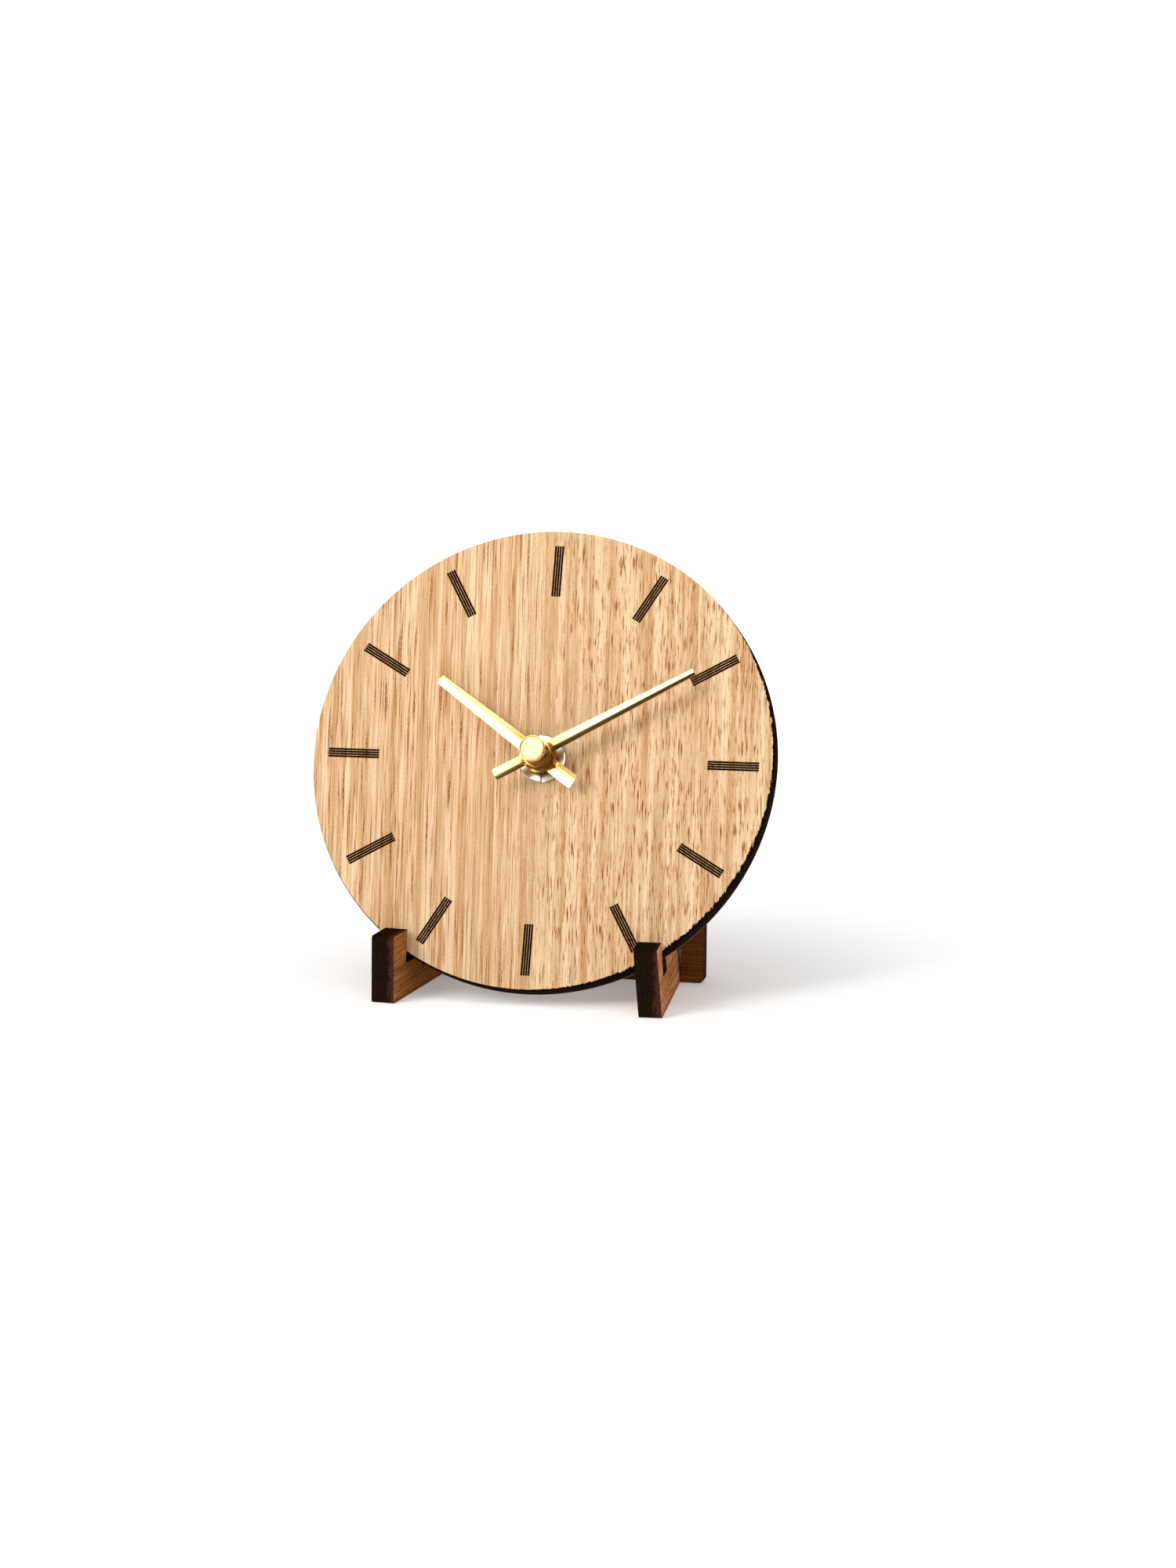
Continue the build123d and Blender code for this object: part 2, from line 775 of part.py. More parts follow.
def hour_hand():
    bore = hour_pipe_radius + joint_clearance
    shape = hand(
        hour_length, hour_tail, hour_width, hour_tip_width, hour_tail_width, hour_roof,
        hour_level, hour_hub_radius, hour_level, bore,
    )
    shape += ring(hour_collar_radius, bore, hour_level - hour_collar_length, hour_level)
    return Rot(0, 0, -hour_angle) * shape


def hand_cap():
    """Round cap: a head with a disc let into its top, a smooth neck, and a knurled skirt down on the minute hand."""
    bottom = minute_level + hub_thickness
    top = bottom + cap_height
    neck_front = top - cap_head_height
    neck_back = neck_front - cap_neck_length
    knurl = toothed_outline(
        cap_knurl_count, cap_radius - cap_knurl_depth, cap_radius, tooth_root_share, tooth_tip_share, 0
    )
    skirt = toothed_disc(knurl, bottom, neck_back)
    neck = disc(cap_radius - cap_knurl_depth - cap_neck_recess, neck_back, neck_front)
    head = disc(cap_radius, neck_front, top)
    head = chamfer(head.edges().group_by(Axis.Z)[-1], cap_bevel)
    head -= ring(cap_inlay_radius + cap_inlay_gap, cap_inlay_radius, top - cap_inlay_depth, top + cut_overrun)
    bore = minute_thread_radius + thread_clearance
    return skirt + neck + head - disc(bore, bottom - cut_overrun, top - cap_wall)


# Motion work


def minute_arbor():
    """Shaft of the minute hand, with the cannon pinion on it."""
    seat = minute_level
    thread_end = minute_level + hub_thickness + cap_height - cap_wall - end_play
    arbor = disc(minute_shaft_radius, cover_inner + end_play, seat)
    arbor += disc(minute_thread_radius, seat, thread_end)
    arbor += disc(minute_pivot_radius, cover_inner - pivot_length, cover_inner + end_play)
    return arbor + gear(cannon_teeth, motion_module, cannon_phase, motion_back, motion_front)


def clutch_spring():
    """Spring washer between the cannon pinion and the centre wheel, which lets the hands be set."""
    bore = minute_shaft_radius + running_clearance
    return ring(clutch_radius, bore, motion_back - clutch_thickness, motion_back)


def hour_wheel():
    """Hour wheel with its pipe, which runs on the minute shaft and carries the hour hand."""
    wheel = gear(hour_wheel_teeth, hour_module, hour_phase, hour_wheel_back, hour_wheel_front)
    wheel += disc(hour_pipe_radius, hour_wheel_back, hour_level + hub_thickness + hour_pipe_stand_out)
    bore = minute_shaft_radius + running_clearance
    return wheel - disc(bore, hour_wheel_back - cut_overrun, minute_level)


def motion_wheel():
    """Wheel and pinion in one, turning on a stud of the case between the minute and hour shafts."""
    wheel = gear(motion_wheel_teeth, motion_module, motion_phase, motion_back, motion_front, motion_place)
    wheel += gear(
        motion_pinion_teeth, hour_module, motion_pinion_phase, motion_front, hour_wheel_front, motion_place
    )
    bore = motion_stud_radius + running_clearance
    return wheel - disc(bore, motion_back - cut_overrun, hour_wheel_front + cut_overrun, motion_place)


def setting_knob():
    """Gear, shaft and ridged knob in one. The knob is turned from behind the clock."""
    knob_front = cover_back - housing_clearance
    knob_back = knob_front - knob_thickness
    ridges = toothed_outline(
        knob_ridge_count, knob_radius - knob_ridge_depth, knob_radius, tooth_root_share, tooth_tip_share, 0
    )
    knob = toothed_disc(ridges, knob_back, knob_front, setting_place)
    knob += disc(setting_shaft_radius, knob_front, hour_wheel_front, setting_place)
    knob += gear(setting_teeth, motion_module, setting_phase, motion_back, motion_front, setting_place)
    return knob + disc(pivot_radius, hour_wheel_front, case_floor + pivot_length, setting_place)


# Going train


def centre_wheel():
    """Wheel held on the minute shaft by friction alone."""
    wheel = gear(centre_teeth, train_module, centre_phase, centre_back, centre_front)
    bore = minute_shaft_radius + running_clearance
    return wheel - disc(bore, centre_back - cut_overrun, centre_front + cut_overrun)


def train_arbor(place):
    """Thin shaft with a pivot at each end."""
    arbor = disc(train_arbor_radius, cover_inner + end_play, case_floor - end_play, place)
    return arbor + disc(pivot_radius, cover_inner - pivot_length, case_floor + pivot_length, place)


def train_wheel(teeth, pinion_teeth, phase, back, front, pinion_front, place):
    """A wheel and its pinion on one shaft."""
    wheel = train_arbor(place) + gear(teeth, train_module, phase, back, front, place)
    return wheel + gear(pinion_teeth, train_module, phase, front, pinion_front, place)


def third_wheel():
    return train_wheel(
        third_teeth, third_pinion_teeth, third_phase, third_back, third_front, centre_front, third_place
    )


def second_wheel():
    return train_wheel(
        second_teeth, second_pinion_teeth, second_phase, second_back, second_front, third_front, second_place
    )


def intermediate_wheel():
    return train_wheel(
        intermediate_teeth, intermediate_pinion_teeth, intermediate_phase,
        intermediate_back, intermediate_front, second_front, intermediate_place,
    )


def rotor_arbor():
    pinion_end = magnet_front + layer_gap / 2
    return train_arbor(rotor_place) + gear(
        rotor_pinion_teeth, train_module, rotor_phase, pinion_end, intermediate_front, rotor_place
    )


def rotor_magnet():
    return ring(magnet_radius, train_arbor_radius + running_clearance, magnet_back, magnet_front, rotor_place)


# Write every piece

os.makedirs("parts", exist_ok=True)
save("foot_left", foot(-1, 0.0))
save("foot_right", foot(1, right_foot_lean))
save("cross_bar", cross_bar())
head_pieces = {
    "face_veneer": face_veneer(),
    "dial_core": dial_layer(dial_back + veneer_thickness, -veneer_thickness),
    "back_veneer": dial_layer(dial_back, dial_back + veneer_thickness),
    "dial_nut": dial_nut(),
    "threaded_bush": threaded_bush(),
    "rubber_washer": ring(washer_radius, bush_radius + joint_clearance, case_front, dial_back),
    "movement_case": movement_case(),
    "back_cover": back_cover(),
    "battery": battery(),
    "positive_contact": positive_contact(),
    "negative_contact": negative_contact(),
    "circuit_board": circuit_board(),
    "chip": chip(),
    "crystal": crystal(),
    "stator": stator(),
    "coil_bobbin": coil_bobbin(),
    "coil_winding": coil_winding(),
    "minute_hand": minute_hand(),
    "hour_hand": hour_hand(),
    "hand_cap": hand_cap(),
    "minute_arbor": minute_arbor(),
    "clutch_spring": clutch_spring(),
    "hour_wheel": hour_wheel(),
    "motion_wheel": motion_wheel(),
    "setting_knob": setting_knob(),
    "centre_wheel": centre_wheel(),
    "third_wheel": third_wheel(),
    "second_wheel": second_wheel(),
    "intermediate_wheel": intermediate_wheel(),
    "rotor_arbor": rotor_arbor(),
    "rotor_magnet": rotor_magnet(),
}
for name, shape in head_pieces.items():
    save(name, shape, head)
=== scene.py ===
# %% [markdown]
# # A round oak desk clock
# The clock is a laser-cut oak dial that leans back in two slotted feet, with brass hands turned by a
# quartz movement behind it. The solids come packed from the CAD source, and this lesson dresses them: it
# sets up a small photo studio, gives every part its finish, and models again the few pieces that a camera
# comes close to. Everything is in metres and in the same frame as the solids.

# %% Load the frame
from collections import namedtuple
from math import atan2, cos, pi, radians, sin

import bmesh
import bpy
from mathutils import Matrix, Quaternion, Vector


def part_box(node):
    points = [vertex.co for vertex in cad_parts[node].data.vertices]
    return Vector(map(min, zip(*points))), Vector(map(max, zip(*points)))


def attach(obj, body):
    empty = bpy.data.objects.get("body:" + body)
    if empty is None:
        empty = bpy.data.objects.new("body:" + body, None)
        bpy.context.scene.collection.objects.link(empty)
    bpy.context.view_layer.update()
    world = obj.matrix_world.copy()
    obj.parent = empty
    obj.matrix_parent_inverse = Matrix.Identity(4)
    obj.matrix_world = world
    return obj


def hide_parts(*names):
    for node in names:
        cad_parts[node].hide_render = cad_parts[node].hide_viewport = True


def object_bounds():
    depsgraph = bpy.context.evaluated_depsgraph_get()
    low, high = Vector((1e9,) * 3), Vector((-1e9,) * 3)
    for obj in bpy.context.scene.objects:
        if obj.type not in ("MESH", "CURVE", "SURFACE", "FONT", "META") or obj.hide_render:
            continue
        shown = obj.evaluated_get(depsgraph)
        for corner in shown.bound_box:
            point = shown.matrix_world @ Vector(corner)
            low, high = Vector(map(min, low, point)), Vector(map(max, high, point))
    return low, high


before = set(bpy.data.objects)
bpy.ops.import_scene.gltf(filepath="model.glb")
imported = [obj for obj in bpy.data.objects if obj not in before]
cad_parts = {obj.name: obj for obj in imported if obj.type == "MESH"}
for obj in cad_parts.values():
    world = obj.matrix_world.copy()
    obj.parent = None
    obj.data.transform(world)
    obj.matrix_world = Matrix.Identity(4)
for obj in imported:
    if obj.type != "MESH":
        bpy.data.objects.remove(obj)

solid_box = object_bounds()
rounded_box = [tuple(round(c, 4) for c in corner) for corner in solid_box]
print("solids loaded:", len(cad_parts), "box", rounded_box)

# %% [markdown]
# ## The dial's own axes
# Almost everything on the clock is square to the dial and not to the table. Each piece could be turned by
# hand until it fits. Instead the lesson keeps one matrix that carries a point from the dial (x right, y
# up the face, z out of the face, in millimetres) to the table's frame, so that every piece fits in the
# same way. Its numbers are the lean and the small turn that the solids have.

# %% Dial frame
MM = 0.001
dial_centre = Vector((0.0, 1.133, 68.836)) * MM
dial_lean = radians(23.0)
dial_turn = radians(0.8)

across_dial = Vector((cos(dial_turn), sin(dial_turn) * sin(dial_lean), sin(dial_turn) * cos(dial_lean)))
out_of_dial = Vector((0.0, -cos(dial_lean), sin(dial_lean)))
up_dial = out_of_dial.cross(across_dial)
dial_axes = Matrix((across_dial, up_dial, out_of_dial)).transposed()
dial_to_table = Matrix.Translation(dial_centre) @ dial_axes.to_4x4() @ Matrix.Scale(MM, 4)
face_low, face_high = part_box("face_veneer")
print("dial radius", round((face_high.x - face_low.x) / 2 / MM, 2), "mm")

# %% [markdown]
# ## The camera
# The photograph was taken from a little to the right and a little above the table. Its angles and its
# focal length came from fitting the known solids to points on the picture. The lens could be shifted to
# put the clock where it is in the tall frame. It is simpler to let the camera look past the middle of the
# dial, because the clock is far away compared with its size.

# %% Camera
frame_width, frame_height = 1500, 2000
camera_azimuth = radians(12.627)
camera_elevation = radians(10.511)
camera_roll = radians(0.534)
camera_distance = 2.0
focal_pixels = 8579.0
dial_pixel = (691.9, 968.7)

toward_camera = Vector((
    sin(camera_azimuth) * cos(camera_elevation),
    -cos(camera_azimuth) * cos(camera_elevation),
    sin(camera_elevation),
))
roll = Quaternion((0, 0, 1), camera_roll)
upright = (-toward_camera).to_track_quat("-Z", "Y") @ roll
metres_per_pixel = camera_distance / focal_pixels
aim_right = (frame_width / 2 - dial_pixel[0]) * metres_per_pixel
aim_down = (frame_height / 2 - dial_pixel[1]) * metres_per_pixel
aim = dial_centre + upright @ Vector((aim_right, -aim_down, 0))

camera = bpy.data.objects.new("camera", bpy.data.cameras.new("camera"))
bpy.context.scene.collection.objects.link(camera)
camera.location = dial_centre + toward_camera * camera_distance
camera.rotation_mode = "QUATERNION"
camera.rotation_quaternion = (aim - camera.location).to_track_quat("-Z", "Y") @ roll
camera.data.sensor_width = 36.0
camera.data.lens = focal_pixels * camera.data.sensor_width / frame_height
bpy.context.scene.camera = camera
print("camera at", tuple(round(c, 3) for c in camera.location), "lens", round(camera.data.lens, 1), "mm")

# %% [markdown]
# ## Studio light
# One large soft light stands in front of the clock on the left, a little above it, with some light from
# overhead and a little from the right. A bright world could do this alone, but then nothing would throw a
# shadow. Area lights were chosen because their size sets how soft a shadow is: the hands have to throw a
# soft one that can still be seen. These lights stay out of reflections, because the metal has cards of
# its own. The view transform is the plain one, so that a colour given to a finish is close to the colour
# in the picture.

# %% Soft boxes
bpy.context.scene.view_settings.view_transform = "Standard"


def soft_box(name, place, size, power, aim_at):
    """A square area light, turned towards a point."""
    light = bpy.data.lights.new(name, "AREA")
    light.shape = "SQUARE"
    light.size = size
    light.energy = power
    made = bpy.data.objects.new(name, light)
    bpy.context.scene.collection.objects.link(made)
    made.location = place
    made.rotation_mode = "QUATERNION"
    made.rotation_quaternion = (Vector(aim_at) - made.location).to_track_quat("-Z", "Y")
    return made


studio_lights = {  # place, size in metres, power in watts
    "key": ((-0.86, -1.16, 0.87), 0.7, 15.5),
    "fill": ((1.1, -1.2, 0.6), 1.0, 2.5),
    "overhead": ((-0.1, -0.3, 1.5), 1.8, 6.0),
}
for name, (place, size, power) in studio_lights.items():
    soft_box(name, place, size, power, dial_centre).visible_glossy = False
print("soft boxes:", list(studio_lights))

# %% [markdown]
# ## Cards for the metal
# Bright metal shows what stands round it, so a photographer holds up white cards where the metal looks.
# Real cards would also brighten the wood. Here each card is an area light that only reflections see,
# placed where a side of the hands, the cap or the nut finds its reflection. So one side of a fold is
# bright, and the other can stay dark.

# %% Reflection cards
cards = {  # place, size in metres, power in watts
    "side_card": ((-0.86, -1.25, 0.26), 0.8, 14.0),
    "front_card": ((-0.32, -1.2, 0.91), 0.8, 5.5),
    "top_card": ((-0.5, -0.43, 1.33), 1.1, 14.0),
    "right_card": ((1.25, -0.15, 0.43), 0.7, 3.8),
}
for name, (place, size, power) in cards.items():
    soft_box(name, place, size, power, dial_centre).visible_diffuse = False
print("cards:", list(cards))

# %% [markdown]
# ## The room
# Round the studio is a plain room. A picture of a real room could surround the scene, but a smooth ramp
# is enough here: bright overhead, and nearly dark at the height of the table, so that the lower side of
# the minute hand stays dark. It is the first thing made of shader nodes, so two helpers come with it:
# `feed` sets a node's sockets or links them, and `node` adds a node and feeds it.

# %% Room
sky_starts, sky_ends = 0.1, 0.7
low_sky, high_sky = 0.03, 0.55
white = (1.0, 1.0, 1.0, 1.0)


def feed(tree, fed, sockets):
    """Set each socket of a node to a value, or link it to another socket."""
    for name, value in sockets.items():
        if isinstance(value, bpy.types.NodeSocket):
            tree.links.new(value, fed.inputs[name])
        else:
            fed.inputs[name].default_value = value


def node(tree, kind, sockets=None, **settings):
    """One shader node with its settings and its sockets."""
    made = tree.nodes.new("ShaderNode" + kind)
    for name, value in settings.items():
        setattr(made, name, value)
    feed(tree, made, sockets or {})
    return made


world = bpy.data.worlds.new("studio")
bpy.context.scene.world = world
world.use_nodes = True
sky = world.node_tree
direction = node(sky, "TexCoord").outputs["Generated"]
ramp_sockets = {
    "Value": node(sky, "SeparateXYZ", {0: direction}).outputs[2],
    "From Min": sky_starts, "From Max": sky_ends, "To Min": low_sky, "To Max": high_sky,
}
ramp = node(sky, "MapRange", ramp_sockets, interpolation_type="SMOOTHSTEP").outputs["Result"]
feed(sky, sky.nodes["Background"], {"Color": white, "Strength": ramp})
print("room light from", low_sky, "to", high_sky)

# %% [markdown]
# ## Sums and patterns
# A finish is a material made of nodes, worked out from the place on the object. It could be painted as an
# image, but then it would be only as sharp as the image. Noise can be looked at from any distance. The
# helpers name the few sums that come back again and again. Colours are written as they read on a screen,
# from 0 to 255, and turned into the linear values that Blender mixes.

# %% Sums and patterns
def colour(red, green, blue):
    """A colour as it reads on a screen, as linear light."""
    def linear(value):
        share = value / 255
        return share / 12.92 if share <= 0.04045 else ((share + 0.055) / 1.055) ** 2.4
    return (linear(red), linear(green), linear(blue), 1.0)


def sums(tree, operation, first, second=0.0):
    """One sum on two numbers or sockets, named as Blender names it."""
    return node(tree, "Math", {0: first, 1: second}, operation=operation).outputs[0]


def times(tree, first, second):
    return sums(tree, "MULTIPLY", first, second)


def plus(tree, first, second):
    return sums(tree, "ADD", first, second)


def minus(tree, first, second):
    return sums(tree, "SUBTRACT", first, second)


def fade(tree, value, start, end):
    """A smooth step from 0 at the start to 1 at the end."""
    sockets = {"Value": value, "From Min": start, "From Max": end}
    return node(tree, "MapRange", sockets, interpolation_type="SMOOTHSTEP").outputs["Result"]


def mix(tree, share, first, second):
    """The first colour where the share is 0, the second where it is 1."""
    return node(tree, "Mix", {0: share, 6: first, 7: second}, data_type="RGBA").outputs[2]


def noise(tree, place, stretch, detail=2.0, roughness=0.5):
    """Noise from 0 to 1, with so many waves to the millimetre along each axis."""
    scaled = node(tree, "VectorMath", {0: place, 1: stretch}, operation="MULTIPLY").outputs[0]
    sockets = {"Vector": scaled, "Scale": 1.0, "Detail": detail, "Roughness": roughness}
    return node(tree, "TexNoise", sockets).outputs["Fac"]


def new_finish(name):
    """An empty node material with its shader."""
    made = bpy.data.materials.new(name)
    made.use_nodes = True
    return made, made.node_tree, made.node_tree.nodes["Principled BSDF"]


print("sums and patterns ready")

# %% [markdown]
# ## The table
# The clock stands on a plain white table that runs out of the picture. A very bright surface would be
# white too, but it would lose the shadows. So the table is a pale, matt surface that also glows: a little
# under the clock, and more away from it, until it is pure white. A faint noise keeps it from being one
# flat tone.

# %% Table
glow_start, glow_end, near_glow, far_glow = 40.0, 320.0, 0.23, 0.9
table_half_size, cloud_stretch = 6.0, (0.01, 0.01, 0.01)


def table_place(tree, turn=0.0, shift=(0.0, 0.0, 0.0)):
    """Place in millimetres in the table's frame, turned about the upright and shifted."""
    source = node(tree, "TexCoord").outputs["Object"]
    sockets = {"Vector": source, "Scale": (1 / MM,) * 3, "Rotation": (0.0, 0.0, turn), "Location": shift}
    return node(tree, "Mapping", sockets).outputs["Vector"]


def flat_sheet(name, half_size, level, finish):
    """A level square under the clock, which throws no shadow."""
    mesh = bpy.data.meshes.new(name)
    shape = bmesh.new()
    bmesh.ops.create_grid(shape, x_segments=4, y_segments=4, size=half_size)
    bmesh.ops.translate(shape, vec=(0, 0, level), verts=shape.verts)
    shape.to_mesh(mesh)
    shape.free()
    made = bpy.data.objects.new(name, mesh)
    bpy.context.scene.collection.objects.link(made)
    mesh.materials.append(finish)
    made.visible_shadow = False
    return made


floor_finish, tree, shader = new_finish("pale_table")
place = table_place(tree)
away = node(tree, "VectorMath", {0: place}, operation="LENGTH").outputs["Value"]
glow = times(tree, fade(tree, away, glow_start, glow_end), far_glow - near_glow)
cloud = noise(tree, place, cloud_stretch)
feed(tree, shader, {
    "Base Color": mix(tree, cloud, (0.86, 0.86, 0.86, 1.0), (0.9, 0.9, 0.9, 1.0)),
    "Roughness": 0.9,
    "Emission Color": white,
    "Emission Strength": plus(tree, glow, near_glow),
})
table = flat_sheet("table", table_half_size, 0.0, floor_finish)
print("table", tuple(round(d, 2) for d in table.dimensions))

# %% [markdown]
# ## What the metal sees of the table
# So large a table would be a white wall in the metal, and a photographer would cover most of it. Making
# it small would show its edge. So the table is left out of reflections, and a glowing sheet the size of a
# tray, which only reflections see, takes its place under the clock.

# %% White sheet
sheet_half_size, sheet_level, sheet_glow = 0.22, -0.2 * MM, 0.8
table.visible_glossy = False
sheet_finish, tree, shader = new_finish("white_sheet")
cloud = noise(tree, table_place(tree), cloud_stretch)
feed(tree, shader, {
    "Emission Color": mix(tree, cloud, (0.7, 0.7, 0.7, 1.0), (0.8, 0.8, 0.8, 1.0)),
    "Emission Strength": sheet_glow,
})
near_sheet = flat_sheet("near_sheet", sheet_half_size, sheet_level, sheet_finish)
near_sheet.visible_camera = False
near_sheet.visible_diffuse = False
print("white sheet", tuple(round(d, 2) for d in near_sheet.dimensions))

# %% [markdown]
# ## Oak
# Oak veneer has broad bands and long fine fibres, with a speckle over them. It could be scanned, but a
# scan can't follow the curve of another cut. Each of these is noise stretched along the grain: the longer
# the stretch, the longer the streak. They are laid over each other as tints, and the whole is swayed a
# little, since no grain is straight.

# %% Oak layers
Layer = namedtuple("Layer", "stretch detail roughness start end share tint")
oak_layers = (
    Layer((0.6, 0.012, 0.6), 4.0, 0.65, 0.5, 0.68, 0.6, colour(170, 129, 84)),  # dull streaks
    Layer((2.4, 0.03, 2.4), 4.0, 0.6, 0.5, 0.7, 0.5, colour(248, 224, 189)),  # pale fibres
    Layer((2.4, 0.03, 2.4), 4.0, 0.6, 0.46, 0.32, 0.5, colour(176, 130, 78)),  # dark fibres
    Layer((3.5, 1.3, 3.5), 2.0, 0.5, 0.5, 0.75, 0.35, colour(186, 136, 84)),  # dark speckle
    Layer((3.5, 1.3, 3.5), 2.0, 0.5, 0.5, 0.2, 0.25, colour(246, 222, 188)),  # pale speckle
)
brown_band, pale_band = colour(191, 149, 101), colour(232, 201, 161)


def layered(tree, place, wood, layers):
    """Wood with tints laid over it, each where its own noise goes past its start."""
    for layer in layers:
        pattern = noise(tree, place, layer.stretch, layer.detail, layer.roughness)
        share = times(tree, fade(tree, pattern, layer.start, layer.end), layer.share)
        wood = mix(tree, share, wood, layer.tint)
    return wood


def swayed(tree, place, width=0.6):
    """The place, moved a little across the grain."""
    sway = times(tree, minus(tree, noise(tree, place, (0.12, 0.05, 0.12)), 0.5), width)
    shift = node(tree, "CombineXYZ", {0: sway}).outputs[0]
    return node(tree, "VectorMath", {0: place, 1: shift}, operation="ADD").outputs[0]


print("oak:", len(oak_layers), "layers over two bands")

# %% [markdown]
# ## Pores in the oak
# Oak is known by its open pores. On the left of this dial they run in rows the whole height, and on the
# right, where the veneer was cut nearer to the middle of the log, they are short dashes. They could be
# drawn one by one, but there are thousands. A row follows the line where a stretched noise passes its
# middle value, and a dash is the peak of another. Each has a soft brown side and a dark core, and a zone
# from 0 to 1 says which kind there is.

# %% Oak pores
pore_brown, pore_dark, pore_share = colour(172, 108, 46), colour(104, 54, 18), 0.85


def pore_rows(tree, place, share):
    """Soft rows and their dark dots, along the middle value of one stretched noise."""
    contour = noise(tree, place, (0.6, 0.004, 0.6), 3.0, 0.6)
    from_row = sums(tree, "ABSOLUTE", minus(tree, contour, 0.5))
    part_of_row = noise(tree, place, (1.4, 0.07, 1.4))
    dots = fade(tree, noise(tree, place, (3.0, 0.8, 3.0)), 0.36, 0.56)
    soft = times(tree, fade(tree, from_row, 0.055, 0.015), fade(tree, part_of_row, 0.35, 0.6))
    dark = times(tree, fade(tree, from_row, 0.026, 0.01), fade(tree, part_of_row, 0.5, 0.62))
    return times(tree, times(tree, soft, share), 0.8), times(tree, times(tree, dark, dots), share)


def dashes(tree, place, stretch, soft, dark, share):
    """Soft dashes and their dark cores, from the peaks of one stretched noise."""
    peaks = noise(tree, place, stretch, 2.0, 0.55)
    return times(tree, fade(tree, peaks, *soft), share), times(tree, fade(tree, peaks, *dark), share)


def oak_colour(tree, place, zone):
    """Oak colour and pore depth. The zone goes from 0, long rows, to 1, short dashes."""
    place = swayed(tree, place)
    band = fade(tree, noise(tree, place, (0.34, 0.006, 0.34), 3.0, 0.6), 0.32, 0.66)
    wood = layered(tree, place, mix(tree, band, brown_band, pale_band), oak_layers)
    rows_share = minus(tree, 1.0, zone)
    patch = fade(tree, noise(tree, place, (0.14, 0.05, 0.14)), 0.35, 0.6)
    patch = times(tree, zone, plus(tree, 0.35, times(tree, patch, 0.65)))
    soft, pore = pore_rows(tree, place, rows_share)
    for kind in (
        dashes(tree, place, (2.0, 0.03, 2.0), (0.56, 0.74), (0.7, 0.78), rows_share),
        dashes(tree, place, (2.2, 0.16, 2.2), (0.52, 0.64), (0.6, 0.69), patch),
        dashes(tree, place, (1.5, 0.1, 1.5), (0.58, 0.69), (0.66, 0.73), zone),
    ):
        soft, pore = (sums(tree, "MAXIMUM", old, new) for old, new in zip((soft, pore), kind))
    wood = mix(tree, times(tree, soft, pore_share), wood, pore_brown)
    return mix(tree, times(tree, pore, pore_share), wood, pore_dark), pore


print("oak pores: rows and three kinds of dashes")

# %% [markdown]
# ## The face's wood
# The face is one sheet of that oak, with its grain a little off the upright. The noise could follow the
# table's axes, but the dial leans, and the grain would slide over it. So the place is first carried into
# the dial's own frame. The dashes come in round the middle, along a line that wanders.

# %% Face wood
grain_turn = radians(-3.0)
zone_start, zone_end, zone_wander = 2.0, 38.0, 40.0


def dial_place(tree, grain_turn=0.0):
    """Place in millimetres in the dial's frame, turned about the dial's axis."""
    to_dial = Matrix.Rotation(grain_turn, 3, "Z") @ dial_axes.transposed()
    source = node(tree, "TexCoord").outputs["Object"]
    sockets = {
        "Vector": source,
        "Scale": (1 / MM,) * 3,
        "Rotation": to_dial.to_euler(),
        "Location": to_dial @ dial_centre * (-1 / MM),
    }
    return node(tree, "Mapping", sockets).outputs["Vector"]


def parts_of(tree, place):
    """The x, y and z of a place."""
    split = node(tree, "SeparateXYZ", {0: place})
    return split.outputs[0], split.outputs[1], split.outputs[2]


oak_face, tree, shader = new_finish("oak_face")
place = dial_place(tree, grain_turn)
x, y, z = parts_of(tree, place)
wander = times(tree, noise(tree, place, (0.03, 0.012, 0.0)), zone_wander)
zone = fade(tree, plus(tree, x, wander), zone_start, zone_end)
wood, pore = oak_colour(tree, place, zone)
print("face wood:", len(tree.nodes), "nodes")

# %% [markdown]
# ## Where the face is burnt away
# The laser that cut the rim has eaten into the face along the right and lower edge, in small ragged
# bites. They could be cut into the mesh, but they are finer than its triangles. So the finish asks how
# far a place is from the rim, and burns it where a noise bites deeper than that. The hour marks are real
# grooves in the solid, so anything below the face is burnt too.

# %% Burnt rim of the face
dial_radius_mm = 70.0
bite_floor, bite_scale, low_edge_depth = 0.3, 2.6, 0.25


def radius_of(tree, place):
    """How far a place is from the dial's axis."""
    flat = node(tree, "VectorMath", {0: place, 1: (1.0, 1.0, 0.0)}, operation="MULTIPLY").outputs[0]
    return node(tree, "VectorMath", {0: flat}, operation="LENGTH").outputs["Value"]


radius = radius_of(tree, place)
from_rim = minus(tree, dial_radius_mm, radius)
burn_side = fade(tree, minus(tree, x, times(tree, y, 0.5)), 15.0, 70.0)
bite = minus(tree, noise(tree, place, (1.4, 0.35, 0.0), 4.0, 0.7), bite_floor)
burn_depth = times(tree, bite, times(tree, burn_side, bite_scale))
burn_depth = plus(tree, burn_depth, times(tree, fade(tree, y, 0.0, -50.0), low_edge_depth))
charred_rim = fade(tree, minus(tree, burn_depth, from_rim), -0.1, 0.1)
groove = fade(tree, z, -0.003, -0.012)
burnt = sums(tree, "MAXIMUM", charred_rim, groove)
print("rim bites where noise is above", bite_floor, "times", bite_scale, "mm")

# %% [markdown]
# ## Scorched hour marks
# Each mark is four parallel lines, and the beam has browned the wood between them and left soot at their
# ends and in the pores. Twelve marks could be twelve patterns. It is shorter to fold the dial into one
# twelfth: the angle is wrapped to 30 degrees, and the same pattern falls on every hour. Its lines are
# wrapped again, to one pitch.

# %% Hour marks
mark_pitch, mark_inner, mark_outer, mark_half = 0.72, 50.2, 65.3, 1.44
hour_angle = radians(30.0)
line_edge, dot_edge, ragged_depth = (0.33, 0.24), (0.34, 0.26), 0.25


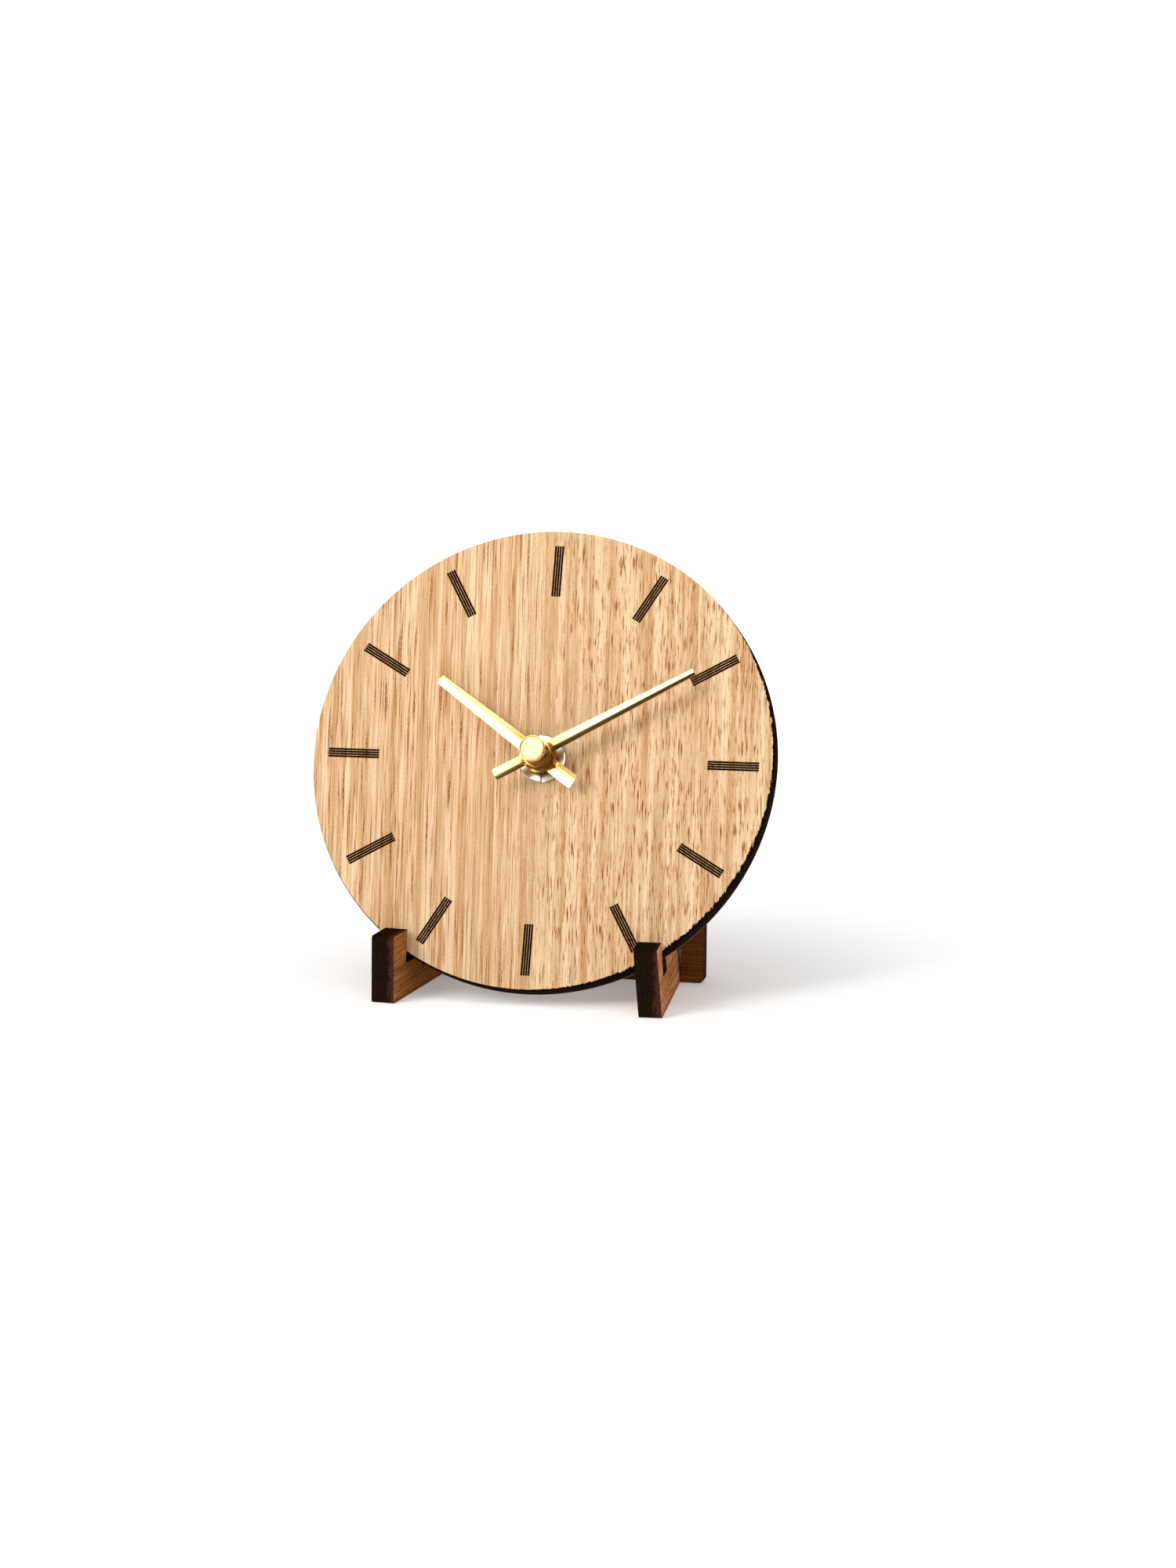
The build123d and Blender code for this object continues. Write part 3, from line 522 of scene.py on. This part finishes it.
def wrap(tree, value, high, low):
    """A value carried round into the range from low to high."""
    return node(tree, "Math", {0: value, 1: high, 2: low}, operation="WRAP").outputs[0]


face_x, face_y, _ = parts_of(tree, dial_place(tree))
folded = wrap(tree, sums(tree, "ARCTAN2", face_x, face_y), hour_angle / 2, -hour_angle / 2)
aside = times(tree, radius, sums(tree, "SINE", folded))
outward = times(tree, radius, sums(tree, "COSINE", folded))
from_line = sums(tree, "ABSOLUTE", minus(tree, wrap(tree, aside, mark_pitch, 0.0), mark_pitch / 2))
ragged = minus(tree, noise(tree, place, (2.0, 2.0, 0.0), 3.0), 0.5)
from_line = plus(tree, from_line, times(tree, ragged, ragged_depth))
past_end = sums(tree, "MAXIMUM", minus(tree, outward, mark_outer), minus(tree, mark_inner, outward))
within_sides = fade(tree, sums(tree, "ABSOLUTE", aside), mark_half + 0.1, mark_half)
in_mark = times(tree, within_sides, fade(tree, past_end, 0.3, 0.15))
print("hour marks from", mark_inner, "to", mark_outer, "mm")

# %% [markdown]
# ## The face's finish
# The wood, the soot and the char come together here. A mask could switch between three materials, but one
# shader with mixed colours keeps the edges soft. Char is rougher than wood and doesn't shine at all, and
# the pores are pressed in a little with a bump, which is enough because they are so small. `dress` gives
# a solid its finish.

# %% Face finish
soot_colour, brown_scorch, char_black = colour(40, 22, 12), colour(150, 92, 44), colour(12, 8, 6)
pore_bump, pore_depth = 0.35, 0.12 * MM


def bump(tree, height, strength, distance):
    """A surface that looks pressed in where the height is low."""
    sockets = {"Height": height, "Strength": strength, "Distance": distance}
    return node(tree, "Bump", sockets).outputs["Normal"]


def dress(finish, *names):
    """Give solids their finish, in place of the plain colour that they were packed with."""
    for name in names:
        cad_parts[name].data.materials.clear()
        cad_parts[name].data.materials.append(finish)


scorch = times(tree, times(tree, fade(tree, from_line, *line_edge), in_mark), 0.92)
at_end = fade(tree, sums(tree, "ABSOLUTE", past_end), 0.35, 0.15)
end_dot = times(tree, at_end, times(tree, fade(tree, from_line, *dot_edge), in_mark))
soot_in_pores = times(tree, times(tree, pore, in_mark), 0.85)
soot = sums(tree, "MAXIMUM", scorch, sums(tree, "MAXIMUM", end_dot, soot_in_pores))
scorched = mix(tree, times(tree, in_mark, 0.5), wood, brown_scorch)
scorched = mix(tree, soot, scorched, soot_colour)
feed(tree, shader, {
    "Base Color": mix(tree, burnt, scorched, char_black),
    "Roughness": plus(tree, 0.55, times(tree, burnt, 0.25)),
    "Specular IOR Level": times(tree, minus(tree, 1.0, burnt), 0.04),
    "Normal": bump(tree, minus(tree, 1.0, pore), pore_bump, pore_depth),
})
dress(oak_face, "face_veneer")
print("oak face:", len(tree.nodes), "nodes")

# %% [markdown]
# ## Charred rim and oak back
# The board between the two veneers was cut by the same laser, so its rim is charcoal: nearly black, matt,
# with fine lines across the edge where the beam pulsed. A black colour alone would look like paint, so
# the tone is mottled and the lines are a bump. The back of the dial has the same oak as the face,
# unmarked, and its edge is browned by the cut.

# %% Rim and back
rim_char, tree, shader = new_finish("charred_rim")
place = dial_place(tree)
mottle = noise(tree, place, (0.9, 0.9, 0.9), 4.0, 0.65)
feed(tree, shader, {
    "Base Color": mix(tree, mottle, colour(14, 10, 8), colour(44, 30, 24)),
    "Specular IOR Level": 0.0,
    "Roughness": plus(tree, 0.5, times(tree, mottle, 0.3)),
    "Normal": bump(tree, noise(tree, place, (2.5, 2.5, 0.1), 3.0), 0.5, 0.2 * MM),
})
dress(rim_char, "dial_core")

back_zone, browned_from, browned_to = (40.0, -20.0), dial_radius_mm - 0.25, dial_radius_mm - 0.05
oak_back, tree, shader = new_finish("oak_back")
place = dial_place(tree, grain_turn)
wood, pore = oak_colour(tree, place, fade(tree, parts_of(tree, place)[0], *back_zone))
edge = fade(tree, radius_of(tree, place), browned_from, browned_to)
feed(tree, shader, {
    "Base Color": mix(tree, edge, wood, colour(30, 20, 15)),
    "Roughness": 0.6,
    "Normal": bump(tree, minus(tree, 1.0, pore), pore_bump, pore_depth),
})
dress(oak_back, "back_veneer")
print("rim and back dressed")

# %% [markdown]
# ## Charred and raw wood on the stand
# The feet and the bar are cut from the same thin board. Their flat sides are the board's own oiled wood,
# and every cut edge, which is the front, the top and the inside of the slots, is charred. Each face could
# be given its material by hand. It is safer to ask which way a face looks: along the board's thickness it
# is wood, and anywhere else it is char, darkest where the edge is rounded. Towards one side the char is
# thinner and redder.

# %% Stand finish
char_low, char_high = colour(14, 9, 7), colour(40, 25, 18)
red_char_low, red_char_high = colour(50, 27, 19), colour(92, 52, 37)
fleck_tint = colour(70, 38, 16)


def stand_wood(tree, place, wood_light, wood_dark, thin_axis):
    """Oiled wood whose grain lies along the plate."""
    fine = (1.2, 0.03, 1.9) if thin_axis == 0 else (0.03, 1.2, 1.9)
    short = (1.2, 0.22, 1.9) if thin_axis == 0 else (0.22, 1.2, 1.9)
    streak = noise(tree, place, tuple(0.3 * share for share in fine), 4.0, 0.6)
    wood = mix(tree, fade(tree, streak, 0.3, 0.7), wood_light, wood_dark)
    fibres = Layer(fine, 4.0, 0.6, 0.45, 0.62, 0.8, wood_dark)
    flecks = Layer(short, 2.0, 0.5, 0.6, 0.7, 0.75, fleck_tint)
    return layered(tree, place, wood, (fibres, flecks)), noise(tree, place, fine, 4.0, 0.6)


def stand_finish(name, turn, middle, wood_light, wood_dark, thin_axis):
    """Wood on the sides that look along the thin axis, char on the cut edges."""
    made, tree, shader = new_finish(name)
    place = table_place(tree, turn, (-middle, 0.0, 0.0))
    wood, fibre = stand_wood(tree, place, wood_light, wood_dark, thin_axis)
    mottle = noise(tree, place, (3.0, 3.0, 2.2), 4.0, 0.7)
    spots = fade(tree, mottle, 0.36, 0.66)
    cloud = times(tree, noise(tree, place, (0.5, 0.5, 0.3), 3.0), 3.0)
    redder = times(tree, fade(tree, plus(tree, parts_of(tree, place)[0], cloud), 2.6, 4.4), 0.8)
    char = mix(tree, spots, char_low, char_high)
    char = mix(tree, redder, char, mix(tree, spots, red_char_low, red_char_high))
    look = {"Vector": node(tree, "TexCoord").outputs["Normal"], "Angle": turn}
    turned = node(tree, "VectorRotate", look, rotation_type="Z_AXIS").outputs[0]
    facing = sums(tree, "ABSOLUTE", parts_of(tree, turned)[thin_axis])
    char = mix(tree, times(tree, fade(tree, facing, 0.1, 0.5), 0.8), char, char_low)
    feed(tree, shader, {
        "Base Color": mix(tree, fade(tree, facing, 0.9, 0.98), char, wood),
        "Roughness": plus(tree, 0.6, times(tree, mottle, 0.25)),
        "Specular IOR Level": 0.0,
        "Normal": bump(tree, plus(tree, mottle, fibre), 0.3, 0.1 * MM),
    })
    return made


print("stand finish ready")

# %% [markdown]
# ## The stand
# The two feet are splayed, so the finish of each is turned with it and starts from the middle of its
# plate, which is measured on the solid. A real cut edge is never quite sharp. The edges could be rounded
# in the solid, but a bevel modifier does it here for all of them at once. The solid's triangles are
# welded first, so that they share edges to round.

# %% Stand
foot_splay = radians(5.5)
same_point, stand_round = 0.001 * MM, 0.35


def middle_plane(name, turn):
    """The middle of a plate across its thickness, in millimetres, once turned square to the table."""
    square = Matrix.Rotation(turn, 3, "Z")
    across = [(square @ vert.co).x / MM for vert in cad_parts[name].data.vertices]
    return (min(across) + max(across)) / 2


def soften_edges(width, *names):
    """A small round on every sharp edge of a solid, so many millimetres wide."""
    for name in names:
        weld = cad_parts[name].modifiers.new("weld", "WELD")
        weld.merge_threshold = same_point
        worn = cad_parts[name].modifiers.new("worn_edges", "BEVEL")
        worn.width = width * MM
        worn.segments = 2
        worn.limit_method = "ANGLE"
        worn.angle_limit = radians(40.0)
        worn.harden_normals = True


stand_plates = {  # solid: finish, turn, light tone, dark tone, thin axis
    "foot_left": ("left_foot_wood", foot_splay, (186, 124, 70), (124, 74, 36), 0),
    "foot_right": ("right_foot_wood", -foot_splay, (222, 158, 110), (172, 108, 66), 0),
    "cross_bar": ("bar_wood", 0.0, (128, 80, 42), (88, 52, 26), 1),
}
for name, (finish_name, turn, light, dark, thin_axis) in stand_plates.items():
    middle = middle_plane(name, turn) if thin_axis == 0 else 0.0
    dress(stand_finish(finish_name, turn, middle, colour(*light), colour(*dark), thin_axis), name)
    print(name, "middle at", round(middle, 2), "mm")
soften_edges(stand_round, *stand_plates)

# %% [markdown]
# ## Brass, nickel and steel
# Every metal here is a full metal shader: its colour is the colour of what it mirrors. A mirror would
# draw a hard image of the lights, and real parts are brushed or tumbled. So a fine noise, stretched along
# the brushing, changes the roughness and tips the surface a little, and a light spreads into a satin
# sheen.

# %% Metals
def metal_finish(name, light, dark, rough, uneven, brushing, depth):
    """A full metal with a fine unevenness."""
    made, tree, shader = new_finish(name)
    brushed = noise(tree, dial_place(tree), brushing)
    feed(tree, shader, {
        "Base Color": mix(tree, brushed, colour(*dark), colour(*light)),
        "Metallic": 1.0,
        "Roughness": plus(tree, rough - uneven / 2, times(tree, brushed, uneven)),
        "Normal": bump(tree, brushed, depth, 0.02 * MM),
    })
    return made


hands = ("minute_hand", "hour_hand")
shaft = ("threaded_bush", "minute_arbor")
springs = ("positive_contact", "negative_contact", "crystal", "clutch_spring")
metals = {  # finish: light tone, dark tone, roughness, its unevenness, brushing, depth, solids
    "hand_brass": ((255, 212, 140), (250, 204, 128), 0.2, 0.06, (6, 6, 6), 0.02, hands),
    "cap_brass": ((255, 210, 134), (252, 202, 122), 0.22, 0.06, (5, 5, 5), 0.02, ("hand_cap",)),
    "brass": ((232, 190, 104), (214, 168, 84), 0.32, 0.16, (4, 4, 4), 0.12, shaft),
    "nickel": ((196, 188, 170), (182, 173, 154), 0.22, 0.06, (3, 3, 3), 0.02, ("dial_nut",)),
    "spring_steel": ((206, 206, 206), (176, 176, 178), 0.3, 0.16, (3, 3, 3), 0.15, springs),
    "soft_iron": ((150, 148, 146), (120, 118, 116), 0.45, 0.16, (3, 3, 3), 0.2, ("stator",)),
    "copper_wire": ((206, 118, 70), (166, 84, 46), 0.38, 0.16, (0.2, 12, 12), 0.5, ("coil_winding",)),
    "magnet": ((112, 112, 116), (86, 86, 90), 0.5, 0.16, (5, 5, 5), 0.2, ("rotor_magnet",)),
}
metal = {}
for name, (*recipe, solids) in metals.items():
    metal[name] = metal_finish(name, *recipe)
    dress(metal[name], *solids)
print("metals:", list(metal))

# %% [markdown]
# ## Folded arms of the hands
# A clock hand is stamped from thin brass sheet: a flat ring to press on the shaft, and two arms folded
# along the middle like a roof, which makes them stiff. The fold is what one sees, a light side and a dark
# side, so the hands are modelled again with a fold that is soft at the ridge and grows out of the ring in
# a smooth scoop. An arm could be carved from a box, but it starts here as a flat grid, as the sheet does:
# its vertices are moved to their place on the fold, and the sheet then gets its thickness. It is in
# millimetres, with the hand along y.

# %% Folded arms
hand_sheet, fold_length, ridge_softness = 0.35, 2.2, 0.28
arm_columns, arm_rows = 10, 28


def smooth_step(share):
    """0 up to 0, 1 from 1 on, and smooth between."""
    share = min(max(share, 0.0), 1.0)
    return share * share * (3 - 2 * share)


def in_order(sequence, items):
    """Faces or edges in the order of their mesh, so that each run gives the same result."""
    sequence.index_update()
    return sorted(items, key=lambda item: item.index)


def thicken(shape, faces, thickness):
    """Pull a flat sheet up to its thickness."""
    raised = bmesh.ops.extrude_face_region(shape, geom=faces)["geom"]
    top = [item for item in raised if isinstance(item, bmesh.types.BMVert)]
    bmesh.ops.translate(shape, vec=(0, 0, thickness), verts=top)


def folded_arm(shape, start, end, start_width, end_width, roof, ridge, level, way):
    """A strip of sheet along y, folded near its middle, that rises out of the flat ring."""
    grid = bmesh.ops.create_grid(shape, x_segments=arm_columns, y_segments=arm_rows, size=1.0)["verts"]
    edge_fold = (1 + ridge_softness ** 2) ** 0.5 - ridge_softness
    for vert in grid:
        aside = vert.co.x
        share = ((vert.co.y + 1) / 2) ** 2
        distance = start + share * (end - start)
        half = (start_width + share * (end_width - start_width)) / 2
        fold = (((aside - ridge) ** 2 + ridge_softness ** 2) ** 0.5 - ridge_softness) / edge_fold
        rise = smooth_step((distance - start) / fold_length)
        vert.co = (aside * half, way * distance, level + roof * rise * (1 + ridge - fold))
    faces = in_order(shape.faces, {face for vert in grid for face in vert.link_faces})
    thicken(shape, faces, hand_sheet)


print("an arm has", arm_columns * arm_rows, "faces to a side")

# %% [markdown]
# ## A whole hand
# The ring is two circles with a band of faces between them, pulled up to its thickness. The arms start a
# little inside it, so that no gap shows. They could be joined to it into one skin, but a stamped hand
# shows a crease there too. Tumbling takes the sharpness off a stamped part, so the sharp edges get a very
# small bevel.

# %% Hand shape
hub_thickness, ring_segments = 0.5, 72
tail_roof_share, tumbled_round = 0.8, 0.03


def flat_ring(shape, radius, bore, level):
    """The ring at the middle of a hand, with a hole for the shaft."""
    outer = bmesh.ops.create_circle(shape, cap_ends=False, segments=ring_segments, radius=radius)["verts"]
    inner = bmesh.ops.create_circle(shape, cap_ends=False, segments=ring_segments, radius=bore)["verts"]
    loops = in_order(shape.edges, {edge for vert in outer + inner for edge in vert.link_edges})
    faces = bmesh.ops.bridge_loops(shape, edges=loops)["faces"]
    bmesh.ops.translate(shape, vec=(0, 0, level), verts=outer + inner)
    thicken(shape, faces, hub_thickness)


def round_edges(shape, width, steeper_than=radians(60.0)):
    """Break the sharp edges."""
    sharp = [edge for edge in shape.edges if edge.is_manifold and edge.calc_face_angle() > steeper_than]
    bmesh.ops.bevel(
        shape, geom=sharp, offset=width, offset_type="OFFSET", affect="EDGES",
        segments=2, profile=0.5, material=-1, clamp_overlap=True,
    )


def hand_shape(length, tail, width, tip_width, tail_width, roof, ridge, level, hub_radius, bore):
    """A hand with its ring, in millimetres. The ridge says how far the fold is off the middle."""
    shape = bmesh.new()
    arm_start = (hub_radius ** 2 - (width / 2) ** 2) ** 0.5 - hand_sheet
    tail_start = (hub_radius ** 2 - (tail_width / 2) ** 2) ** 0.5 - hand_sheet
    folded_arm(shape, arm_start, length, width, tip_width, roof, ridge, level, 1)
    folded_arm(shape, tail_start, tail, tail_width, tail_width, roof * tail_roof_share, ridge, level, -1)
    flat_ring(shape, hub_radius, bore, level)
    bmesh.ops.recalc_face_normals(shape, faces=shape.faces)
    round_edges(shape, tumbled_round)
    return shape


print("a ring has", ring_segments, "sides")

# %% [markdown]
# ## The two hands
# The clock shows ten past ten. Each hand is made along y, turned to its time, and carried to the dial. It
# rides on the body of the solid that it stands for, so that it turns with it. Near the ring the brass is
# painted deeper in tone, as painted shade for the cap's shadow and the dim reflections where the hands
# and the cap mirror each other. More mirror bounces could show that, but a painted shade that fades along
# the hand is steadier.

# %% Hands
minute_turn, hour_turn = radians(-60.0), radians(-305.0)
hub_shade_tint, hub_shade_share, hub_shade_end, hub_shade_full = colour(172, 138, 66), 0.65, 15.0, 4.5


def new_piece(name, shape, turn, finish, body, replaced, sharp_angle=radians(20.0)):
    """Carry a shape from the dial to the table, and make it a piece that stands for a solid."""
    bmesh.ops.transform(shape, matrix=dial_to_table @ Matrix.Rotation(turn, 4, "Z"), verts=shape.verts)
    bmesh.ops.recalc_face_normals(shape, faces=shape.faces)
    mesh = bpy.data.meshes.new(name)
    shape.to_mesh(mesh)
    shape.free()
    mesh.polygons.foreach_set("use_smooth", [True] * len(mesh.polygons))
    mesh.set_sharp_from_angle(angle=sharp_angle)
    piece = bpy.data.objects.new(name, mesh)
    bpy.context.scene.collection.objects.link(piece)
    mesh.materials.append(finish)
    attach(piece, body)
    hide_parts(replaced)
    print(name, len(mesh.polygons), "faces")


def paint_shade(finish, share, tint):
    """Lay a painted shade over a finish that has its colour already."""
    tree = finish.node_tree
    shader = tree.nodes["Principled BSDF"]
    clean = shader.inputs["Base Color"].links[0].from_socket
    feed(tree, shader, {"Base Color": mix(tree, share, clean, tint)})


hand_brass = metal["hand_brass"]
tree = hand_brass.node_tree
# painted shade: the brass is darkened near the ring, where the cap shades it and the reflections are dim
hub_shade_mask = fade(tree, radius_of(tree, dial_place(tree)), hub_shade_end, hub_shade_full)
paint_shade(hand_brass, times(tree, hub_shade_mask, hub_shade_share), hub_shade_tint)

minute_shape = hand_shape(
    length=52.5, tail=14.2, width=3.9, tip_width=2.4, tail_width=3.5,
    roof=0.49, ridge=0.05, level=8.2, hub_radius=4.2, bore=1.3,
)
new_piece(
    "minute_hand_folded", minute_shape, minute_turn, hand_brass, "minute", "minute_hand",
)
hour_shape = hand_shape(
    length=39.0, tail=13.5, width=4.5, tip_width=3.2, tail_width=4.4,
    roof=0.54, ridge=0.15, level=4.6, hub_radius=5.0, bore=2.6,
)
new_piece("hour_hand_folded", hour_shape, hour_turn, hand_brass, "hour", "hour_hand")

# %% [markdown]
# ## The hand cap
# The cap is turned brass: a head with a disc let into its top, a smooth neck, and a knurled skirt for the
# fingers. It could be stacked from cylinders, but a turned part is a profile swept round an axis. So it
# is drawn once, as a line of points, and spun. The knurl is cut afterwards, as on a lathe: every second
# column of vertices on the skirt is pressed in.

# %% Turned cap
cap_columns, knurl_depth, same_spot = 120, 0.18, 0.0001
skirt_low, skirt_high, skirt_radius = 8.75, 10.95, 3.84
cap_profile = (
    (0.0, 15.5), (3.30, 15.5), (3.40, 15.44), (3.42, 15.25), (3.54, 15.25), (3.57, 15.46), (3.66, 15.5),
    (3.78, 15.46), (3.85, 15.36), (3.85, 13.5), (3.80, 13.42), (3.50, 13.4), (3.47, 13.3), (3.47, 11.1),
    (3.60, 11.0), (3.78, 11.0), (3.85, 10.9), (3.85, 8.8), (3.78, 8.7), (0.0, 8.7),
)
cap_shape = bmesh.new()
outline = [cap_shape.verts.new((out, 0.0, height)) for out, height in cap_profile]
runs = [cap_shape.edges.new(pair) for pair in zip(outline, outline[1:])]
bmesh.ops.spin(
    cap_shape, geom=outline + runs, cent=(0, 0, 0), axis=(0, 0, 1), angle=2 * pi, steps=cap_columns,
    use_merge=True, use_duplicate=False,
)
bmesh.ops.remove_doubles(cap_shape, verts=cap_shape.verts, dist=same_spot)
for vert in cap_shape.verts:
    column = round(atan2(vert.co.y, vert.co.x) / (2 * pi / cap_columns))
    on_skirt = skirt_low < vert.co.z < skirt_high and vert.co.xy.length > skirt_radius
    if on_skirt and column % 2:
        vert.co.xy *= 1 - knurl_depth / skirt_radius
print("cap spun:", len(cap_shape.faces), "faces")

# %% [markdown]
# ## The cap's groove
# Light is lost in the narrow groove round the disc on top of the cap, and on the neck under its head. The
# groove could be cut deeper until it darkened by itself, but that would change the shape. A painted shade
# on everything inside the outer wall and below the top does the same. The disc itself is left bare.

# %% Cap groove
groove_shade_colour, groove_shade_share = colour(104, 68, 28), 0.9
groove_wall, groove_inside, groove_top, groove_below = 3.76, 3.7, 15.42, 15.38
cap_brass = metal["cap_brass"]
tree = cap_brass.node_tree
place = dial_place(tree)
below_top = fade(tree, parts_of(tree, place)[2], groove_top, groove_below)
recess_shade = times(tree, fade(tree, radius_of(tree, place), groove_wall, groove_inside), below_top)
# painted shade in the groove round the disc and on the neck under the head
paint_shade(cap_brass, times(tree, recess_shade, groove_shade_share), groove_shade_colour)
new_piece(
    "hand_cap_turned", cap_shape, minute_turn, cap_brass, "minute", "hand_cap", radians(25.0),
)

# %% [markdown]
# ## Plastics and rubber
# The movement is moulded plastic with the fine grain of an etched mould: a matt black case and cover, a
# knob a little glossier, and pale gears that keep a soft shine. The washer is rubber, and the board and
# its chip are resin. One recipe serves them all, because only the tone, the roughness and the grain
# differ. The grain could be modelled, but it is far finer than the mesh, so it is a bump. The case and
# cover get rounded edges like the stand.

# %% Plastics
case_round = 0.25


def plastic_finish(name, light, dark, rough, grain, depth):
    """Plastic with the grain of its mould."""
    made, tree, shader = new_finish(name)
    place = dial_place(tree)
    mould = noise(tree, place, (grain, grain, grain), 3.0, 0.6)
    tone = noise(tree, place, (0.08, 0.08, 0.08))
    feed(tree, shader, {
        "Base Color": mix(tree, tone, colour(*dark), colour(*light)),
        "Roughness": plus(tree, rough - 0.06, times(tree, mould, 0.12)),
        "Normal": bump(tree, mould, depth, 0.03 * MM),
    })
    return made


gears = (
    "hour_wheel", "motion_wheel", "centre_wheel", "third_wheel", "second_wheel", "intermediate_wheel",
    "rotor_arbor", "coil_bobbin",
)
plastics = {  # finish: light tone, dark tone, roughness, grain, depth, solids
    "case_plastic": ((34, 34, 36), (26, 26, 28), 0.5, 6.0, 0.4, ("movement_case",)),
    "cover_plastic": ((38, 38, 40), (30, 30, 32), 0.45, 6.0, 0.35, ("back_cover",)),
    "knob_plastic": ((24, 24, 26), (18, 18, 20), 0.35, 4.0, 0.2, ("setting_knob",)),
    "gear_plastic": ((232, 228, 214), (222, 216, 200), 0.4, 5.0, 0.15, gears),
    "rubber": ((40, 40, 40), (30, 30, 30), 0.8, 3.0, 0.4, ("rubber_washer",)),
    "board": ((40, 92, 60), (30, 76, 48), 0.4, 2.0, 0.2, ("circuit_board",)),
    "chip_resin": ((28, 28, 30), (20, 20, 22), 0.3, 2.0, 0.2, ("chip",)),
}
for name, (*recipe, solids) in plastics.items():
    dress(plastic_finish(name, *recipe), *solids)
soften_edges(case_round, "movement_case", "back_cover")
print("plastics:", list(plastics))

# %% [markdown]
# ## The battery
# The battery has a plain printed sleeve with a copper band, and bare steel at its ends. It could have
# three materials, but the solid is one piece, so one finish asks how far along the battery a place is.
# The band is partly metal, as printed foil is.

# %% Battery
sleeve_end, band_start, line_half, band_metal = 24.15, -14.0, 0.05, 0.6
battery_sleeve, tree, shader = new_finish("battery_sleeve")
place = dial_place(tree)
along = parts_of(tree, place)[0]
bare_end = fade(tree, sums(tree, "ABSOLUTE", along), sleeve_end - line_half, sleeve_end + line_half)
in_band = fade(tree, along, band_start + 2 * line_half, band_start - 2 * line_half)
band = times(tree, in_band, minus(tree, 1.0, bare_end))
fleck = noise(tree, place, (1.0, 3.0, 3.0))
sleeve = mix(tree, fleck, colour(58, 62, 70), colour(66, 70, 78))
sleeve = mix(tree, band, sleeve, colour(196, 140, 72))
feed(tree, shader, {
    "Base Color": mix(tree, bare_end, sleeve, colour(196, 196, 196)),
    "Metallic": sums(tree, "MAXIMUM", bare_end, times(tree, band, band_metal)),
    "Roughness": plus(tree, 0.28, times(tree, fleck, 0.1)),
})
dress(battery_sleeve, "battery")
print("battery dressed, sleeve ends", sleeve_end, "mm from the middle")

# %% [markdown]
# ## Finish

# %% Finish
print("clock dressed")
